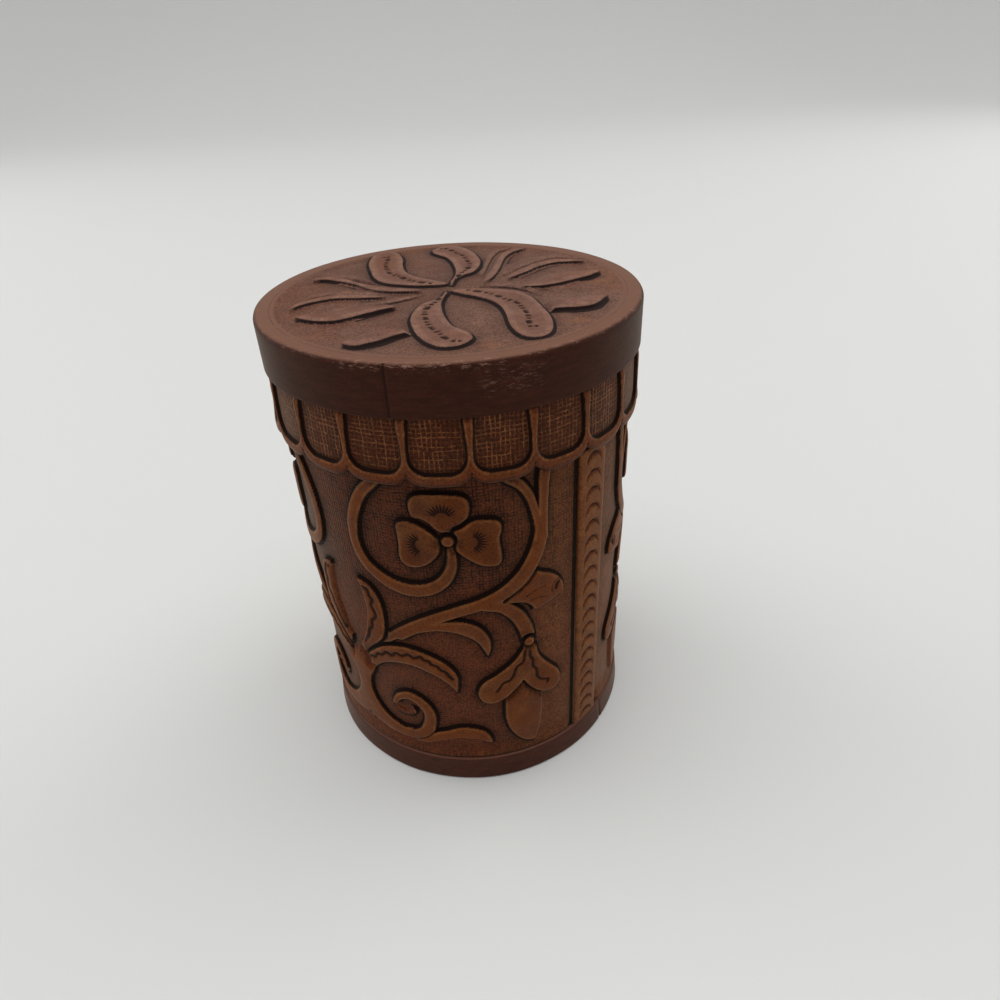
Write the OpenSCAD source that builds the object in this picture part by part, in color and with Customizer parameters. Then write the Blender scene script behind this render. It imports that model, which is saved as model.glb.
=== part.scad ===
// Round lidded container: a board tube covered with tooled leather panels,
// closed by an over-cap lid that slides over the tube's neck.
// The origin is the middle of the underside, +Z is up, and -Y is the front.

/* [Overall] */
// Outer diameter of the lid band
lid_d = 112; // [90:1:150]
// Height of the closed container, to the top of the lid's rim
total_h = 153; // [110:1:220]
// Height of the lid, from its skirt edge to the top of its rim
lid_h = 14; // [11:0.5:20]

/* [Leather] */
// Thickness of the band round the lid
lid_band_t = 1.4; // [1:0.1:2]
// Radius of the lid band's rolled top edge
lid_edge_r = 1.2; // [0.4:0.1:1.3]
// Width of the band's turned-over rim on top of the lid
lid_rim_w = 6; // [4:0.5:10]
// Thickness of the band round the base, at its top edge
base_band_t = 1.5; // [1.2:0.1:3]
// How much farther out the base band stands at its lower edge
base_flare = 0.7; // [0:0.1:2]
// Height of the top edge of the base band
base_band_h = 9.4; // [6:0.2:20]
// Width of the base band's turned-under flange
base_turn_w = 10; // [6:0.5:14]
// Radius of the base band's lower edge
base_edge_r = 0.5; // [0.3:0.1:1.2]
// How far the base pad stands proud of the base band
pad_proud = 0.2; // [0.1:0.1:1]
// Thickness of the panel leather at the bottom of its carving
ground_t = 1.7; // [1.2:0.1:3]
// Depth of the carving
relief_t = 1.4; // [0.8:0.1:2]
// How much lower the forms that pass under others stand
under_t = 0.35; // [0.1:0.05:0.6]
// Thickness of the medallion leather at the bottom of its carving
medallion_ground_t = 1; // [0.6:0.1:2]
// Depth of the medallion's carving
medallion_relief_t = 1; // [0.5:0.1:2]
// Thickness of the thin facing on the neck
facing_t = 0.65; // [0.4:0.05:1.2]

/* [Board] */
// Wall of the body tube
tube_t = 2; // [1.5:0.1:4]
// Wall of the lid hoop
hoop_t = 1.6; // [1:0.1:3]
// Thickness of the lid board
lid_board_t = 2.5; // [1.5:0.1:4]
// Thickness of the base board
base_board_t = 3; // [2:0.1:5]

/* [Lining] */
// Thickness of the body lining
lining_t = 0.8; // [0.4:0.1:1.5]
// Thickness of the lining inside the lid hoop
hoop_lining_t = 0.6; // [0.4:0.1:1]

/* [Fits] */
// Glue line between layers
glue = 0.1; // [0.05:0.01:0.2]
// Sliding gap between the neck and the lid
lid_gap = 0.35; // [0.2:0.05:0.8]
// Gap at rest between the lid and what it sits on
seat_gap = 0.3; // [0.1:0.05:0.6]
// Butt gap between the two panels
butt_gap = 0.2; // [0.1:0.05:0.5]

/* [Scalloped band] */
// Number of scallops round the body
scallops = 21; // [14:1:28]
// Angle from the front to the middle of a scallop rim
scallop_phase = 2; // [-9:0.5:9]
// Height of the band from its lowest point to its top edge
scallop_h = 18.7; // [12:0.1:24]
// How much farther out than the lid the band's lower edge stands
scallop_flare = 0.4; // [0:0.1:1.5]
// Width of the rims between cells
rim_w = 2; // [1:0.1:3]
// Width of the band below the cells
hem_w = 3.2; // [1.5:0.1:5]
// Radius of a cell's lower corners
cell_corner_r = 5; // [2:0.25:6]
// Depth of the cells
cell_depth = 1.2; // [0.5:0.1:1.8]

/* [Seam strips] */
// Angle from the front to the middle of the right strip
strip_angle = 42; // [30:1:60]
// Width of a strip
strip_w = 11.5; // [9:0.5:16]
// Distance between stamped crescents
crescent_pitch = 5.4; // [5:0.1:8]
// Radius of a stamped crescent
crescent_r = 3.4; // [2.5:0.1:4]
// Thickness of a crescent in its middle
crescent_w = 1.4; // [0.8:0.1:2]
// Depth of a stamped crescent
crescent_depth = 0.5; // [0.2:0.1:0.8]
// Margin without crescents at the strip's ends
strip_margin = 3; // [1:0.5:8]

/* [Hidden] */
$fn = 96;
// Radii from the lid band inwards
lid_r = lid_d / 2;
hoop_r = lid_r - lid_band_t - glue;
hoop_in = hoop_r - hoop_t;
hoop_lining_r = hoop_in - glue;
hoop_lining_in = hoop_lining_r - hoop_lining_t;
facing_r = hoop_lining_in - lid_gap;
facing_in = facing_r - facing_t;
tube_r = facing_in - glue;
tube_in = tube_r - tube_t;
lining_r = tube_in - glue;
lining_in = lining_r - lining_t;
// Radii of the covering, from the tube outwards
panel_in = tube_r + glue;
ground_r = panel_in + ground_t;
relief_r = ground_r + relief_t;
base_band_in = ground_r + glue;
base_r = base_band_in + base_band_t;
foot_r = base_r + base_flare;
flange_in = foot_r - base_turn_w;
// The medallion lies inside the lid's rim; its leaves meet a little behind its middle
medallion_r = lid_r - lid_rim_w - glue;
leaf_lean = 4;
// Heights of the base
flange_top = pad_proud + base_band_t;
tube_z = flange_top + glue;
base_board_top = tube_z + base_board_t;
floor_z = base_board_top + glue;
// Heights of the lid, from its rim down
rim_z = total_h - lid_band_t;
lid_board_top = rim_z - glue;
lid_board_z = lid_board_top - lid_board_t;
lid_lining_top = lid_board_z - glue;
lid_lining_z = lid_lining_top - lining_t;
skirt_z = total_h - lid_h;
// Heights of the neck, from the lid's lining down
mouth_z = lid_lining_z - seat_gap;
tube_top = mouth_z - lining_t - glue;
panel_top = skirt_z - seat_gap;
// The scalloped band lies on the panels, flush with the lid at its top edge
band_in = ground_r + glue;
band_z = panel_top - scallop_h;
hem_r = lid_r + scallop_flare;
cell_floor_r = lid_r - cell_depth;
scallop_step = 360 / scallops;
step_w = 2 * lid_r * sin(scallop_step / 2);
cell_w = step_w - rim_w;
cell_z = band_z + hem_w;
corner_z = cell_z + cell_corner_r;
corner_steps = 5;
// Angle at which a notch leaves the band's lower edge
notch_start = 10;
// How deep carved forms are rooted in the ground leather
root = 0.3;
// How far a cutting form runs past what it cuts
past = 1;
// The strips lie on the ground between the base band and the scalloped band
strip_in = ground_r + glue;
strip_z = base_band_h + glue;
strip_top = band_z - glue;
crescent_z = strip_z + strip_margin;
crescents = floor((strip_top - strip_margin - crescent_r - crescent_z) / crescent_pitch) + 1;
crescent_steps = 8;
edge_steps = 4;
// Directions from +X of the strips and of the panels' middles
front = -90;
right_strip = front + strip_angle;
left_strip = right_strip + 180;
front_panel = right_strip - 90;
back_panel = right_strip + 90;
// The ornament's axis lies a little to the right of the panel's middle
axis_lean = 2.1;
// The radius and height that the ornament is drawn for, and its stretch to other sizes
drawn_r = 54.3;
drawn_h = 110.6;
drawn_medallion_r = 49.9;
stretch = [relief_r / drawn_r, (band_z - base_band_h) / drawn_h];
// Points between two given points of a curve, and curve points in one stretch of a stem
curve_steps = 3;
stem_stretch = 9;
// Half of the angle that a panel covers
panel_half = 90 - asin(butt_gap / 2 / panel_in);
// Colours
tan_leather = "#8c6444";
dark_leather = "#593a33";
rubbed_leather = "#84604f";
fibre_board = "#b59a76";
lining_cloth = "#a58a6a";

// A ring of rectangular section
module ring(r_in, r_out, z_low, z_high) {
    rotate_extrude() translate([r_in, z_low]) square([r_out - r_in, z_high - z_low]);
}

// A part of such a ring, about a direction
module arc_ring(middle, half, r_in, r_out, z_low, z_high) {
    rotate(middle - half) rotate_extrude(angle = 2 * half)
        translate([r_in, z_low]) square([r_out - r_in, z_high - z_low]);
}

// A flat disc
module disc(r, z_low, z_high) {
    translate([0, 0, z_low]) cylinder(r = r, h = z_high - z_low);
}

// Pushes an outline, drawn as distance along the wall and height, outwards through the wall
module radial(direction, r_from, r_to) {
    rotate(direction) translate([r_from, 0, 0]) rotate([90, 0, 90]) linear_extrude(r_to - r_from) children();
}

// Points of an arc
function arc(centre, r, from, to, steps) =
    [for (i = [0:steps]) let (a = from + (to - from) * i / steps) centre + r * [cos(a), sin(a)]];

// The points of a list without its first and last
function inner(points) = [for (i = [1:len(points) - 2]) points[i]];

// One cell of the band: straight sides and round lower corners, open at the top
function cell_outline() =
    let (side = cell_w / 2, turn = side - cell_corner_r)
    concat(arc([-turn, corner_z], cell_corner_r, 180, 270, corner_steps),
           arc([turn, corner_z], cell_corner_r, 270, 360, corner_steps),
           [[side, panel_top + past], [-side, panel_top + past]]);

// The notch between two scallops: two arcs round the cells' corners, which meet in a cusp
function notch_outline() =
    let (reach = rim_w / 2 + cell_corner_r, r = cell_corner_r + hem_w, open = asin(min(1, reach / r)),
         side = reach - r * sin(notch_start))
    concat(arc([-reach, corner_z], r, 270 + notch_start, 270 + open, corner_steps),
           inner(arc([reach, corner_z], r, 270 - open, 270 - notch_start, corner_steps)),
           [[side, corner_z - r * cos(notch_start)], [side, band_z - past], [-side, band_z - past]]);

// One stamped crescent with its horns down
function crescent_outline() =
    let (horn = asin(crescent_w / 2 / crescent_r))
    concat(arc([0, 0], crescent_r, -horn, 180 + horn, crescent_steps),
           inner(arc([0, -crescent_w], crescent_r, 180 - horn, horn, crescent_steps)));

// A point of the smooth curve that runs from b to c, between a and d
function curve_point(a, b, c, d, t) =
    b + t * ((c - a) + t * ((2 * a - 5 * b + 4 * c - d) + t * (3 * b - a - 3 * c + d))) / 2;

// A smooth closed curve through points; a point given twice makes a corner
function closed_curve(p) =
    let (n = len(p))
    [for (i = [0:n - 1], k = [0:curve_steps - 1])
        if (p[i] != p[(i + 1) % n])
            curve_point(p[(i + n - 1) % n], p[i], p[(i + 1) % n], p[(i + 2) % n], k / curve_steps)];

// A smooth open curve through points
function open_curve(p) =
    let (n = len(p))
    concat([for (i = [0:n - 2], k = [0:curve_steps - 1])
        curve_point(p[max(i - 1, 0)], p[i], p[i + 1], p[min(i + 2, n - 1)], k / curve_steps)], [p[n - 1]]);

// A point beside a curve of [along, up, half width] points, on one side of it
function beside(c, i, side) =
    let (a = c[max(i - 1, 0)], b = c[min(i + 1, len(c) - 1)], across = [a.y - b.y, b.x - a.x])
    [c[i].x, c[i].y] + side * c[i].z * across / norm(across);

// The outline of one stretch of a stem
function stem_outline(c, first, last) =
    concat([for (i = [first:last]) beside(c, i, 1)], [for (i = [last:-1:first]) beside(c, i, -1)]);

// A prism on the wall from an outline drawn as distance from the ornament's axis and height
module on_wall(drawn) {
    outline = [for (q = drawn) [q.x * stretch.x, q.y * stretch.y]];
    along = [for (q = outline) q.x];
    middle = (min(along) + max(along)) / 2;
    radial(middle / relief_r * 180 / PI, ground_r - root - past, relief_r + past)
        translate([-middle, 0]) polygon(outline);
}

// A plate with smooth edges through points
module plate(points) {
    on_wall(closed_curve(points));
}

// A round boss
module boss(centre, r) {
    on_wall(arc(centre, r, 0, 330, 11));
}

// A stem of varying width, in stretches that each stand square to the wall
module stem(points) {
    c = open_curve(points);
    for (i = [0:stem_stretch:len(c) - 2]) {
        on_wall(stem_outline(c, i, min(i + stem_stretch, len(c) - 1)));
    }
}

// Keeps what lies between the ground and a height of the carving
module carved(r_top) {
    intersection() {
        ring(ground_r - root, r_top, base_band_h + glue, band_z - glue);
        union() children();
    }
}

// Stems, petals and leaves that pass under others
module under_forms() {
    stem([[8.5, 56.5, 1.2], [22.5, 67.8, 1.8], [37.5, 75.7, 2], [52, 81, 2.4], [60.8, 89.8, 2.5],
          [63.9, 101, 1.9], [62.4, 107, 1.3], [58.7, 116, 1.4], [50.5, 121.8, 1.6]]);
    stem([[22, 121.5, 1.6], [13.9, 114.6, 1.8], [9.3, 105, 1.9], [8.8, 95.5, 1.8], [13.8, 87.6, 2],
          [24.7, 83.4, 2.3], [34.8, 87, 2], [38.3, 95.6, 1.4], [37.9, 99, 1]]);
    stem([[64.3, 98, 2.1], [64.8, 105, 1.6], [65.3, 117, 1.8], [66, 122, 2]]);
    stem([[46.5, 77.5, 2], [51.5, 76, 2.1], [55.5, 72.2, 2.3], [57.7, 68, 2.3], [59.6, 60, 2]]);
    volute();
    plate([[37.5, 104], [37.5, 104], [32.8, 107.4], [28.3, 109.4], [27.9, 113.5], [31, 116.3], [41.2, 116],
           [44.2, 112.4], [42.2, 107.2]]);
    plate([[34.6, 102.4], [30.5, 106.2], [25, 107.6], [23.3, 105.5], [23.4, 99.2], [23.2, 95], [26.5, 92],
           [31.4, 93.5], [35, 97.9]]);
    plate([[39.5, 104.5], [44.6, 107.7], [51.2, 106.9], [52.3, 103.6], [51.8, 99.5], [52.4, 93.6],
           [48.8, 91.7], [43, 94.7], [39.5, 98.9]]);
    plate([[51.7, 40], [51, 29], [54.5, 19], [61.1, 12.6], [61.1, 12.6], [62.2, 22], [62.1, 35], [55.5, 43]]);
    plate([[6.2, 82.6], [6.2, 82.6], [10.5, 81.3], [13.5, 76.5], [14.5, 70.6], [13, 61.5], [8.5, 56.5],
           [3.5, 51], [3.5, 51], [4, 58], [6.9, 67], [7.4, 74]]);
    plate([[21.5, 14.6], [28, 21.8], [34.6, 24.3], [39.1, 24.1], [43.6, 21.8], [45.9, 17], [45.9, 17],
           [41, 18.9], [32, 18]]);
}

// The trunk on the axis, which spreads into a volute on each side
module volute() {
    plate([[-1, 47], [5.8, 44.5], [3.9, 39], [3.1, 33.9], [3.9, 30], [5.6, 26.6], [11.3, 21.8], [19, 20.8],
           [20.5, 16.4], [11.7, 14.5], [2.5, 16.2], [-1, 18]]);
    stem([[14, 17.7, 2.9], [20, 18.7, 2.4], [25.2, 25.4, 2.2], [24.8, 32.9, 2], [19.3, 37, 2],
          [14.1, 33.3, 1.2], [14.5, 28, 1.2], [18.5, 27.4, 1.4], [19.8, 29.2, 1.3]]);
}

// Leaves, buds and bosses that lie on top
module over_forms() {
    plate([[22.5, 67], [35.5, 69], [43.5, 64], [46.1, 57.2], [46.1, 57.2], [47.4, 62], [45.7, 67.8],
           [38.5, 71.8], [31.5, 70.6]]);
    boss([37.5, 101.5], 1.8);
    plate([[51.8, 77.1], [51.8, 77.1], [58, 82.4], [62.2, 86], [67.6, 83.4], [71.8, 77.5], [69, 72.7],
           [61.2, 71], [61.2, 71], [57.8, 74.9]]);
    plate([[58.1, 58], [52.5, 51.5], [44.5, 46], [42.5, 40], [46.2, 36], [51.3, 37.6], [57.3, 44], [57.3, 44],
           [60.5, 38.6], [65.5, 34.9], [70.5, 36.8], [70, 42.5], [64.5, 50], [61.5, 58]]);
    boss([59.6, 59.8], 1.8);
    plate([[4, 49], [7.2, 53], [14.5, 58.3], [22.5, 59.4], [30.5, 56.5], [35.6, 51], [36.4, 45.3],
           [35.8, 41.8], [35.8, 41.8], [32, 47], [24, 51.7], [14.4, 50.9], [6.5, 45.3]]);
}

// Repeats forms on the other side of the ornament's axis
module both_sides() {
    for (side = [0, 1]) {
        mirror([0, side, 0]) children();
    }
}

// The ornament, alike on both sides of its axis
module ornament() {
    carved(relief_r - under_t) both_sides() under_forms();
    carved(relief_r) both_sides() over_forms();
}

// One tooled panel, half of the covering
module tooled_panel(middle, axis) {
    color(tan_leather) union() {
        arc_ring(middle, panel_half, panel_in, ground_r, tube_z, panel_top);
        rotate(axis) ornament();
    }
}

// The strip over a butt joint, with its row of crescents
module seam_strip(direction) {
    color(tan_leather) difference() {
        intersection() {
            ring(strip_in, relief_r, strip_z, strip_top);
            radial(direction, strip_in - past, relief_r + past)
                translate([-strip_w / 2, strip_z]) square([strip_w, strip_top - strip_z]);
        }
        for (i = [0:crescents - 1]) {
            radial(direction, relief_r - crescent_depth, relief_r + past)
                translate([0, crescent_z + i * crescent_pitch]) polygon(crescent_outline());
        }
    }
}

module body_tube() {
    color(fibre_board) ring(tube_in, tube_r, tube_z, tube_top);
}

module base_board() {
    color(fibre_board) disc(tube_in - glue, tube_z, base_board_top);
}

// Covers the panels' lower edges and is turned under the tube
module base_band() {
    color(dark_leather) rotate_extrude() polygon(concat(
        [[flange_in, flange_top], [flange_in, pad_proud]],
        arc([foot_r - base_edge_r, pad_proud + base_edge_r], base_edge_r, 270, 360, edge_steps),
        [[base_r, base_band_h], [base_band_in, base_band_h], [base_band_in, flange_top]]));
}

module base_pad() {
    color(dark_leather) disc(flange_in - glue, 0, flange_top);
}

// Lines the tube and is turned over its rim
module lining_sleeve() {
    color(lining_cloth) rotate_extrude() polygon([
        [lining_in, floor_z], [lining_r, floor_z], [lining_r, tube_top + glue],
        [tube_r, tube_top + glue], [tube_r, mouth_z], [lining_in, mouth_z]]);
}

module lining_floor() {
    color(lining_cloth) disc(lining_in - glue, floor_z, floor_z + lining_t);
}

module neck_facing() {
    color(dark_leather) ring(facing_in, facing_r, panel_top + glue, mouth_z);
}

module tooled_panel_front() {
    tooled_panel(front_panel, front_panel + axis_lean);
}

module tooled_panel_back() {
    tooled_panel(back_panel, back_panel - axis_lean);
}

module seam_strip_right() {
    seam_strip(right_strip);
}

module seam_strip_left() {
    seam_strip(left_strip);
}

// The collar over the panels' top: a row of cells above a scalloped edge
module scallop_band() {
    color(tan_leather) difference() {
        rotate_extrude() polygon([
            [band_in, band_z], [hem_r, band_z], [lid_r, panel_top], [band_in, panel_top]]);
        intersection() {
            ring(cell_floor_r, hem_r + past, band_z, panel_top + past);
            for (i = [0:scallops - 1]) {
                radial(front + scallop_phase + (i + 0.5) * scallop_step, band_in, hem_r + past)
                    polygon(cell_outline());
            }
        }
        for (i = [0:scallops - 1]) {
            radial(front + scallop_phase + i * scallop_step, band_in - past, hem_r + past)
                polygon(notch_outline());
        }
    }
}

module lid_board() {
    color(fibre_board) disc(hoop_r, lid_board_z, lid_board_top);
}

module lid_hoop() {
    color(fibre_board) ring(hoop_in, hoop_r, skirt_z, lid_board_z - glue);
}

// Wraps the hoop and is turned over the board's edge
module lid_band() {
    color(dark_leather) rotate_extrude() polygon(concat(
        [[lid_r - lid_band_t, skirt_z], [lid_r, skirt_z]],
        arc([lid_r - lid_edge_r, total_h - lid_edge_r], lid_edge_r, 0, 90, edge_steps),
        [[lid_r - lid_rim_w, total_h], [lid_r - lid_rim_w, rim_z], [lid_r - lid_band_t, rim_z]]));
}

// A raised form of the medallion
module raised(points, height) {
    translate([0, 0, rim_z + medallion_ground_t - root]) linear_extrude(root + height)
        polygon(closed_curve(points) * medallion_r / drawn_medallion_r);
}

// The two long leaves in front, which the back repeats half a turn round
module long_leaves() {
    raised([[-1, -0.5], [-3.5, -7.5], [-7.8, -11.8], [-10.9, -23.7], [-9.2, -35.6], [-4.7, -44.3],
            [0.5, -45.5], [4.8, -41], [2.5, -34.6], [-1.3, -25.9], [-2.3, -13], [-0.4, -4]],
           medallion_relief_t);
    raised([[0.5, -1.3], [7, -1], [13.4, -2.9], [19.5, -6.4], [24, -17], [25.7, -30], [24.2, -40.5],
            [19.7, -43], [15.8, -39], [14.4, -27], [12.5, -15.5], [7.9, -9], [3, -4.5]], medallion_relief_t);
}

// The fans of short leaves at the sides
module side_leaves() {
    low = medallion_relief_t - under_t;
    raised([[-10, -1], [-21.5, 3.3], [-31.6, 13.5], [-41.6, 16.3], [-41.6, 16.3], [-34, 19.5], [-24, 10],
            [-14, 3.5]], low);
    raised([[-18, -4.4], [-25.7, -3.3], [-33, -2.2], [-42.2, -6.8], [-44.5, -10.6], [-44.5, -10.6],
            [-41, -1.2], [-34, 1.4], [-20, -1.4]], low);
    raised([[-16.3, -14.6], [-24.4, -18.5], [-33.4, -21.9], [-41, -19.2], [-41, -19.2], [-41, -11],
            [-34, -6.5], [-20, -8]], low);
    raised([[-10, -34.5], [-18, -38.5], [-24, -41.4], [-26.3, -40.6], [-26.3, -40.6], [-20, -34],
            [-12, -29]], low);
    raised([[10.6, 3.8], [13.6, 8.9], [16.4, 18], [18.8, 28.7], [26.7, 40.4], [26.7, 40.4], [20, 40],
            [14.8, 29.6], [11.8, 14]], low);
    raised([[18.9, 7.1], [24.2, 12.4], [29, 17.6], [34.8, 20.5], [42.9, 19.9], [42.9, 19.9], [36, 25.5],
            [29, 23], [22.5, 17]], low);
    raised([[23.1, -3.1], [31.4, -2], [45, 5.6], [45, 5.6], [43, 12], [36, 15.5], [29, 11], [22, 3.5]], low);
    raised([[25.5, -24.4], [34, -23.8], [42.7, -18], [42.7, -18], [40, -10], [32, -8], [26, -13]], low);
}

module lid_medallion() {
    color(rubbed_leather) union() {
        disc(medallion_r, rim_z, rim_z + medallion_ground_t);
        side_leaves();
        long_leaves();
        translate([0, leaf_lean, 0]) rotate(180) long_leaves();
    }
}

module lid_lining() {
    color(lining_cloth) disc(hoop_in - glue, lid_lining_z, lid_lining_top);
}

module hoop_lining() {
    color(lining_cloth) ring(hoop_lining_in, hoop_lining_r, skirt_z, lid_lining_z - glue);
}

body_tube();
base_board();
base_band();
base_pad();
lining_sleeve();
lining_floor();
neck_facing();
tooled_panel_front();
tooled_panel_back();
seam_strip_right();
seam_strip_left();
scallop_band();
lid_board();
lid_hoop();
lid_band();
lid_medallion();
lid_lining();
hoop_lining();
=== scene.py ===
"""Looks of a round tooled leather container with an over-cap lid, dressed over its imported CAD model."""
import logging
import math
from dataclasses import dataclass, field, replace
from enum import Enum
from typing import Callable, Mapping, Optional, Sequence

import bpy
import numpy as np
from mathutils import Matrix, Vector


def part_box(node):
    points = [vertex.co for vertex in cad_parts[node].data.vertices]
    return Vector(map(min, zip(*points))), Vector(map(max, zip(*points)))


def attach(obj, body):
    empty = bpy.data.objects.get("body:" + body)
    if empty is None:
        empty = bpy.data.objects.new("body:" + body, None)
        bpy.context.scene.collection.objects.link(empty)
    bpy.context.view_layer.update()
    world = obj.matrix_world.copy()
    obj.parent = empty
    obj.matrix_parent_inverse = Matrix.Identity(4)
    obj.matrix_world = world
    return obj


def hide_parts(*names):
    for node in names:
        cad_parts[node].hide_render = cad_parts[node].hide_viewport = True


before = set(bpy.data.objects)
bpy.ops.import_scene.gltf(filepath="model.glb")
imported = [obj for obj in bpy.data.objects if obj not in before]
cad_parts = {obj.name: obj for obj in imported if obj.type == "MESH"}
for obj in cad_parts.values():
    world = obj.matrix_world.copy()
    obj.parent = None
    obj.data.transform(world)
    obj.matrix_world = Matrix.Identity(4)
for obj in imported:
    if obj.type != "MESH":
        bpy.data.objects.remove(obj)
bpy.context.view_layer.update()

LOG = logging.getLogger("container")
MM = 0.001
# Stands for a distance, in mm, at which no cut, vein or fan is near.
FAR = 9.0
Point = tuple[float, float]
Span = tuple[float, float]
Triple = tuple[float, float, float]
Route = tuple[Triple, ...]


class Body(Enum):
    """The two rigid bodies that pieces ride on."""

    CANISTER = "canister"
    LID = "lid"


class Slot(Enum):
    """Material slots that pieces and dressings carry."""

    TOOLED = "tooled_leather"
    BAND = "band_leather"
    MEDALLION = "medallion_leather"
    BOARD = "fibre_board"
    LINING = "lining_cloth"


def radii(node: str) -> tuple[float, float]:
    """Measures a round CAD node about the Z axis.

    Args:
        node: Name of the node.

    Returns:
        Its smallest and largest radius, in mm.
    """
    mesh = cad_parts[node].data
    places = np.zeros(len(mesh.vertices) * 3, np.float32)
    mesh.vertices.foreach_get("co", places)
    reach = np.hypot(places[0::3], places[1::3]) / MM
    return float(reach.min()), float(reach.max())


def heights(node: str) -> tuple[float, float]:
    """Gives a CAD node's lowest and highest Z, in mm."""
    low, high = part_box(node)
    return low.z / MM, high.z / MM


def ease(low: float, high: float, value: np.ndarray) -> np.ndarray:
    """Rises smoothly from 0 at low to 1 at high.

    Args:
        low: Value at which the result is still 0.
        high: Value at which the result reaches 1.
        value: The values to ease.

    Returns:
        The eased values.
    """
    t = np.clip((value - low) / (high - low), 0.0, 1.0)
    return t * t * (3.0 - 2.0 * t)


def flowing(points: Sequence[Sequence[float]], closed: bool = False, step: float = 0.5) -> np.ndarray:
    """Draws a smooth curve through points. A point given twice in a row makes a corner.

    Args:
        points: The points, each with any number of values.
        closed: Whether the curve returns to its first point.
        step: Distance between the curve's own points, in mm.

    Returns:
        The curve's points, one row each.
    """
    p = np.asarray(points, float)
    n = len(p)
    pieces = []
    for i in range(n if closed else n - 1):
        if closed:
            a, b, c, d = (p[(i + k) % n] for k in (-1, 0, 1, 2))
        else:
            a, b, c, d = p[max(i - 1, 0)], p[i], p[i + 1], p[min(i + 2, n - 1)]
        count = max(1, int(np.linalg.norm((c - b)[:2]) / step))
        t = (np.arange(count) / count)[:, None]
        pieces.append(0.5 * (2 * b + (c - a) * t + (2 * a - 5 * b + 4 * c - d) * t ** 2
                             + (3 * b - a - 3 * c + d) * t ** 3))
    if not closed:
        pieces.append(p[-1:])
    return np.concatenate(pieces)


@dataclass
class Nearest:
    """Where points lie beside a line: distance, distance along it, and side (+1 is left)."""

    distance: np.ndarray
    run: np.ndarray
    side: np.ndarray
    length: float


def nearest_on(line: np.ndarray, points: np.ndarray, chunk: int = 4000) -> Nearest:
    """Finds the nearest place on a line of points for each of many points.

    Args:
        line: The line's points, one row each; only the first two values are used.
        points: The points to measure.
        chunk: How many points are measured at a time.

    Returns:
        Where each point lies beside the line.
    """
    a, b = line[:-1, :2], line[1:, :2]
    along = b - a
    length2 = np.maximum((along ** 2).sum(1), 1e-12)
    run = np.concatenate([[0.0], np.cumsum(np.sqrt(length2))])
    found = np.zeros((3, len(points)))
    for start in range(0, len(points), chunk):
        p = points[start:start + chunk]
        off = p[:, None, :] - a[None]
        t = np.clip((off * along).sum(2) / length2, 0.0, 1.0)
        gap2 = ((off - t[..., None] * along) ** 2).sum(2)
        k = gap2.argmin(1)
        rows = np.arange(len(p))
        part = t[rows, k]
        beside = off[rows, k] - part[:, None] * along[k]
        turn = along[k, 0] * beside[:, 1] - along[k, 1] * beside[:, 0]
        found[:, start:start + chunk] = (np.sqrt(gap2[rows, k]), run[k] + part * np.sqrt(length2[k]),
                                         np.where(turn >= 0, 1.0, -1.0))
    return Nearest(*found, float(run[-1]))


def width_at(line: np.ndarray, near: Nearest) -> np.ndarray:
    """Gives a line's third value at the places nearest to points.

    Args:
        line: The line's points.
        near: Where the points lie beside it.

    Returns:
        The values.
    """
    steps = np.linalg.norm(np.diff(line[:, :2], axis=0), axis=1)
    return np.interp(near.run, np.concatenate([[0.0], np.cumsum(steps)]), line[:, 2])


@dataclass(frozen=True)
class Stem:
    """A raised band of varying width along a route of (x, y, half width) points."""

    route: Route

    def reach(self) -> np.ndarray:
        """Gives points that bound the form."""
        r = np.asarray(self.route)
        return np.concatenate([r[:, :2] - r[:, 2:], r[:, :2] + r[:, 2:]])

    def measure(self, points: np.ndarray) -> tuple[np.ndarray, np.ndarray]:
        """Measures points against the band's edge.

        Args:
            points: The points to measure.

        Returns:
            The signed distance to the edge, negative inside, and the distance along the band.
        """
        line = flowing(self.route)
        near = nearest_on(line, points)
        return near.distance - width_at(line, near), near.run


@dataclass(frozen=True)
class Plate:
    """A raised form inside a closed outline of smooth curves."""

    outline: tuple[Point, ...]

    def reach(self) -> np.ndarray:
        """Gives points that bound the form."""
        return np.asarray(self.outline)

    def measure(self, points: np.ndarray) -> tuple[np.ndarray, np.ndarray]:
        """Measures points against the outline.

        Args:
            points: The points to measure.

        Returns:
            The signed distance to the outline, negative inside, and the distance along it.
        """
        line = flowing(self.outline, closed=True)
        ring = np.concatenate([line, line[:1]])
        near = nearest_on(ring, points)
        inside = np.zeros(len(points), bool)
        for (xa, ya), (xb, yb) in zip(ring[:-1], ring[1:]):
            if ya == yb:
                continue
            crossing = (ya > points[:, 1]) != (yb > points[:, 1])
            inside ^= crossing & (points[:, 0] < xa + (points[:, 1] - ya) * (xb - xa) / (yb - ya))
        return np.where(inside, -near.distance, near.distance), near.run


@dataclass(frozen=True)
class Raised:
    """Stems and plates that stand up together, with one cut round them all.

    Quiet lines of (x, y, reach) points mark where the cut stays faint and the form falls away softly.
    The stain darkens a form's middle.
    """

    parts: tuple
    dome: float = 0.0
    sink: float = 0.0
    stain: float = 0.0
    quiet: tuple[Route, ...] = ()


@dataclass(frozen=True)
class Bevel:
    """A cut whose left side stands up and falls away softly, as a leaf's edge does."""

    line: tuple[Point, ...]
    width: float
    fall: float = 0.45
    rise: float = 1.0


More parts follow.
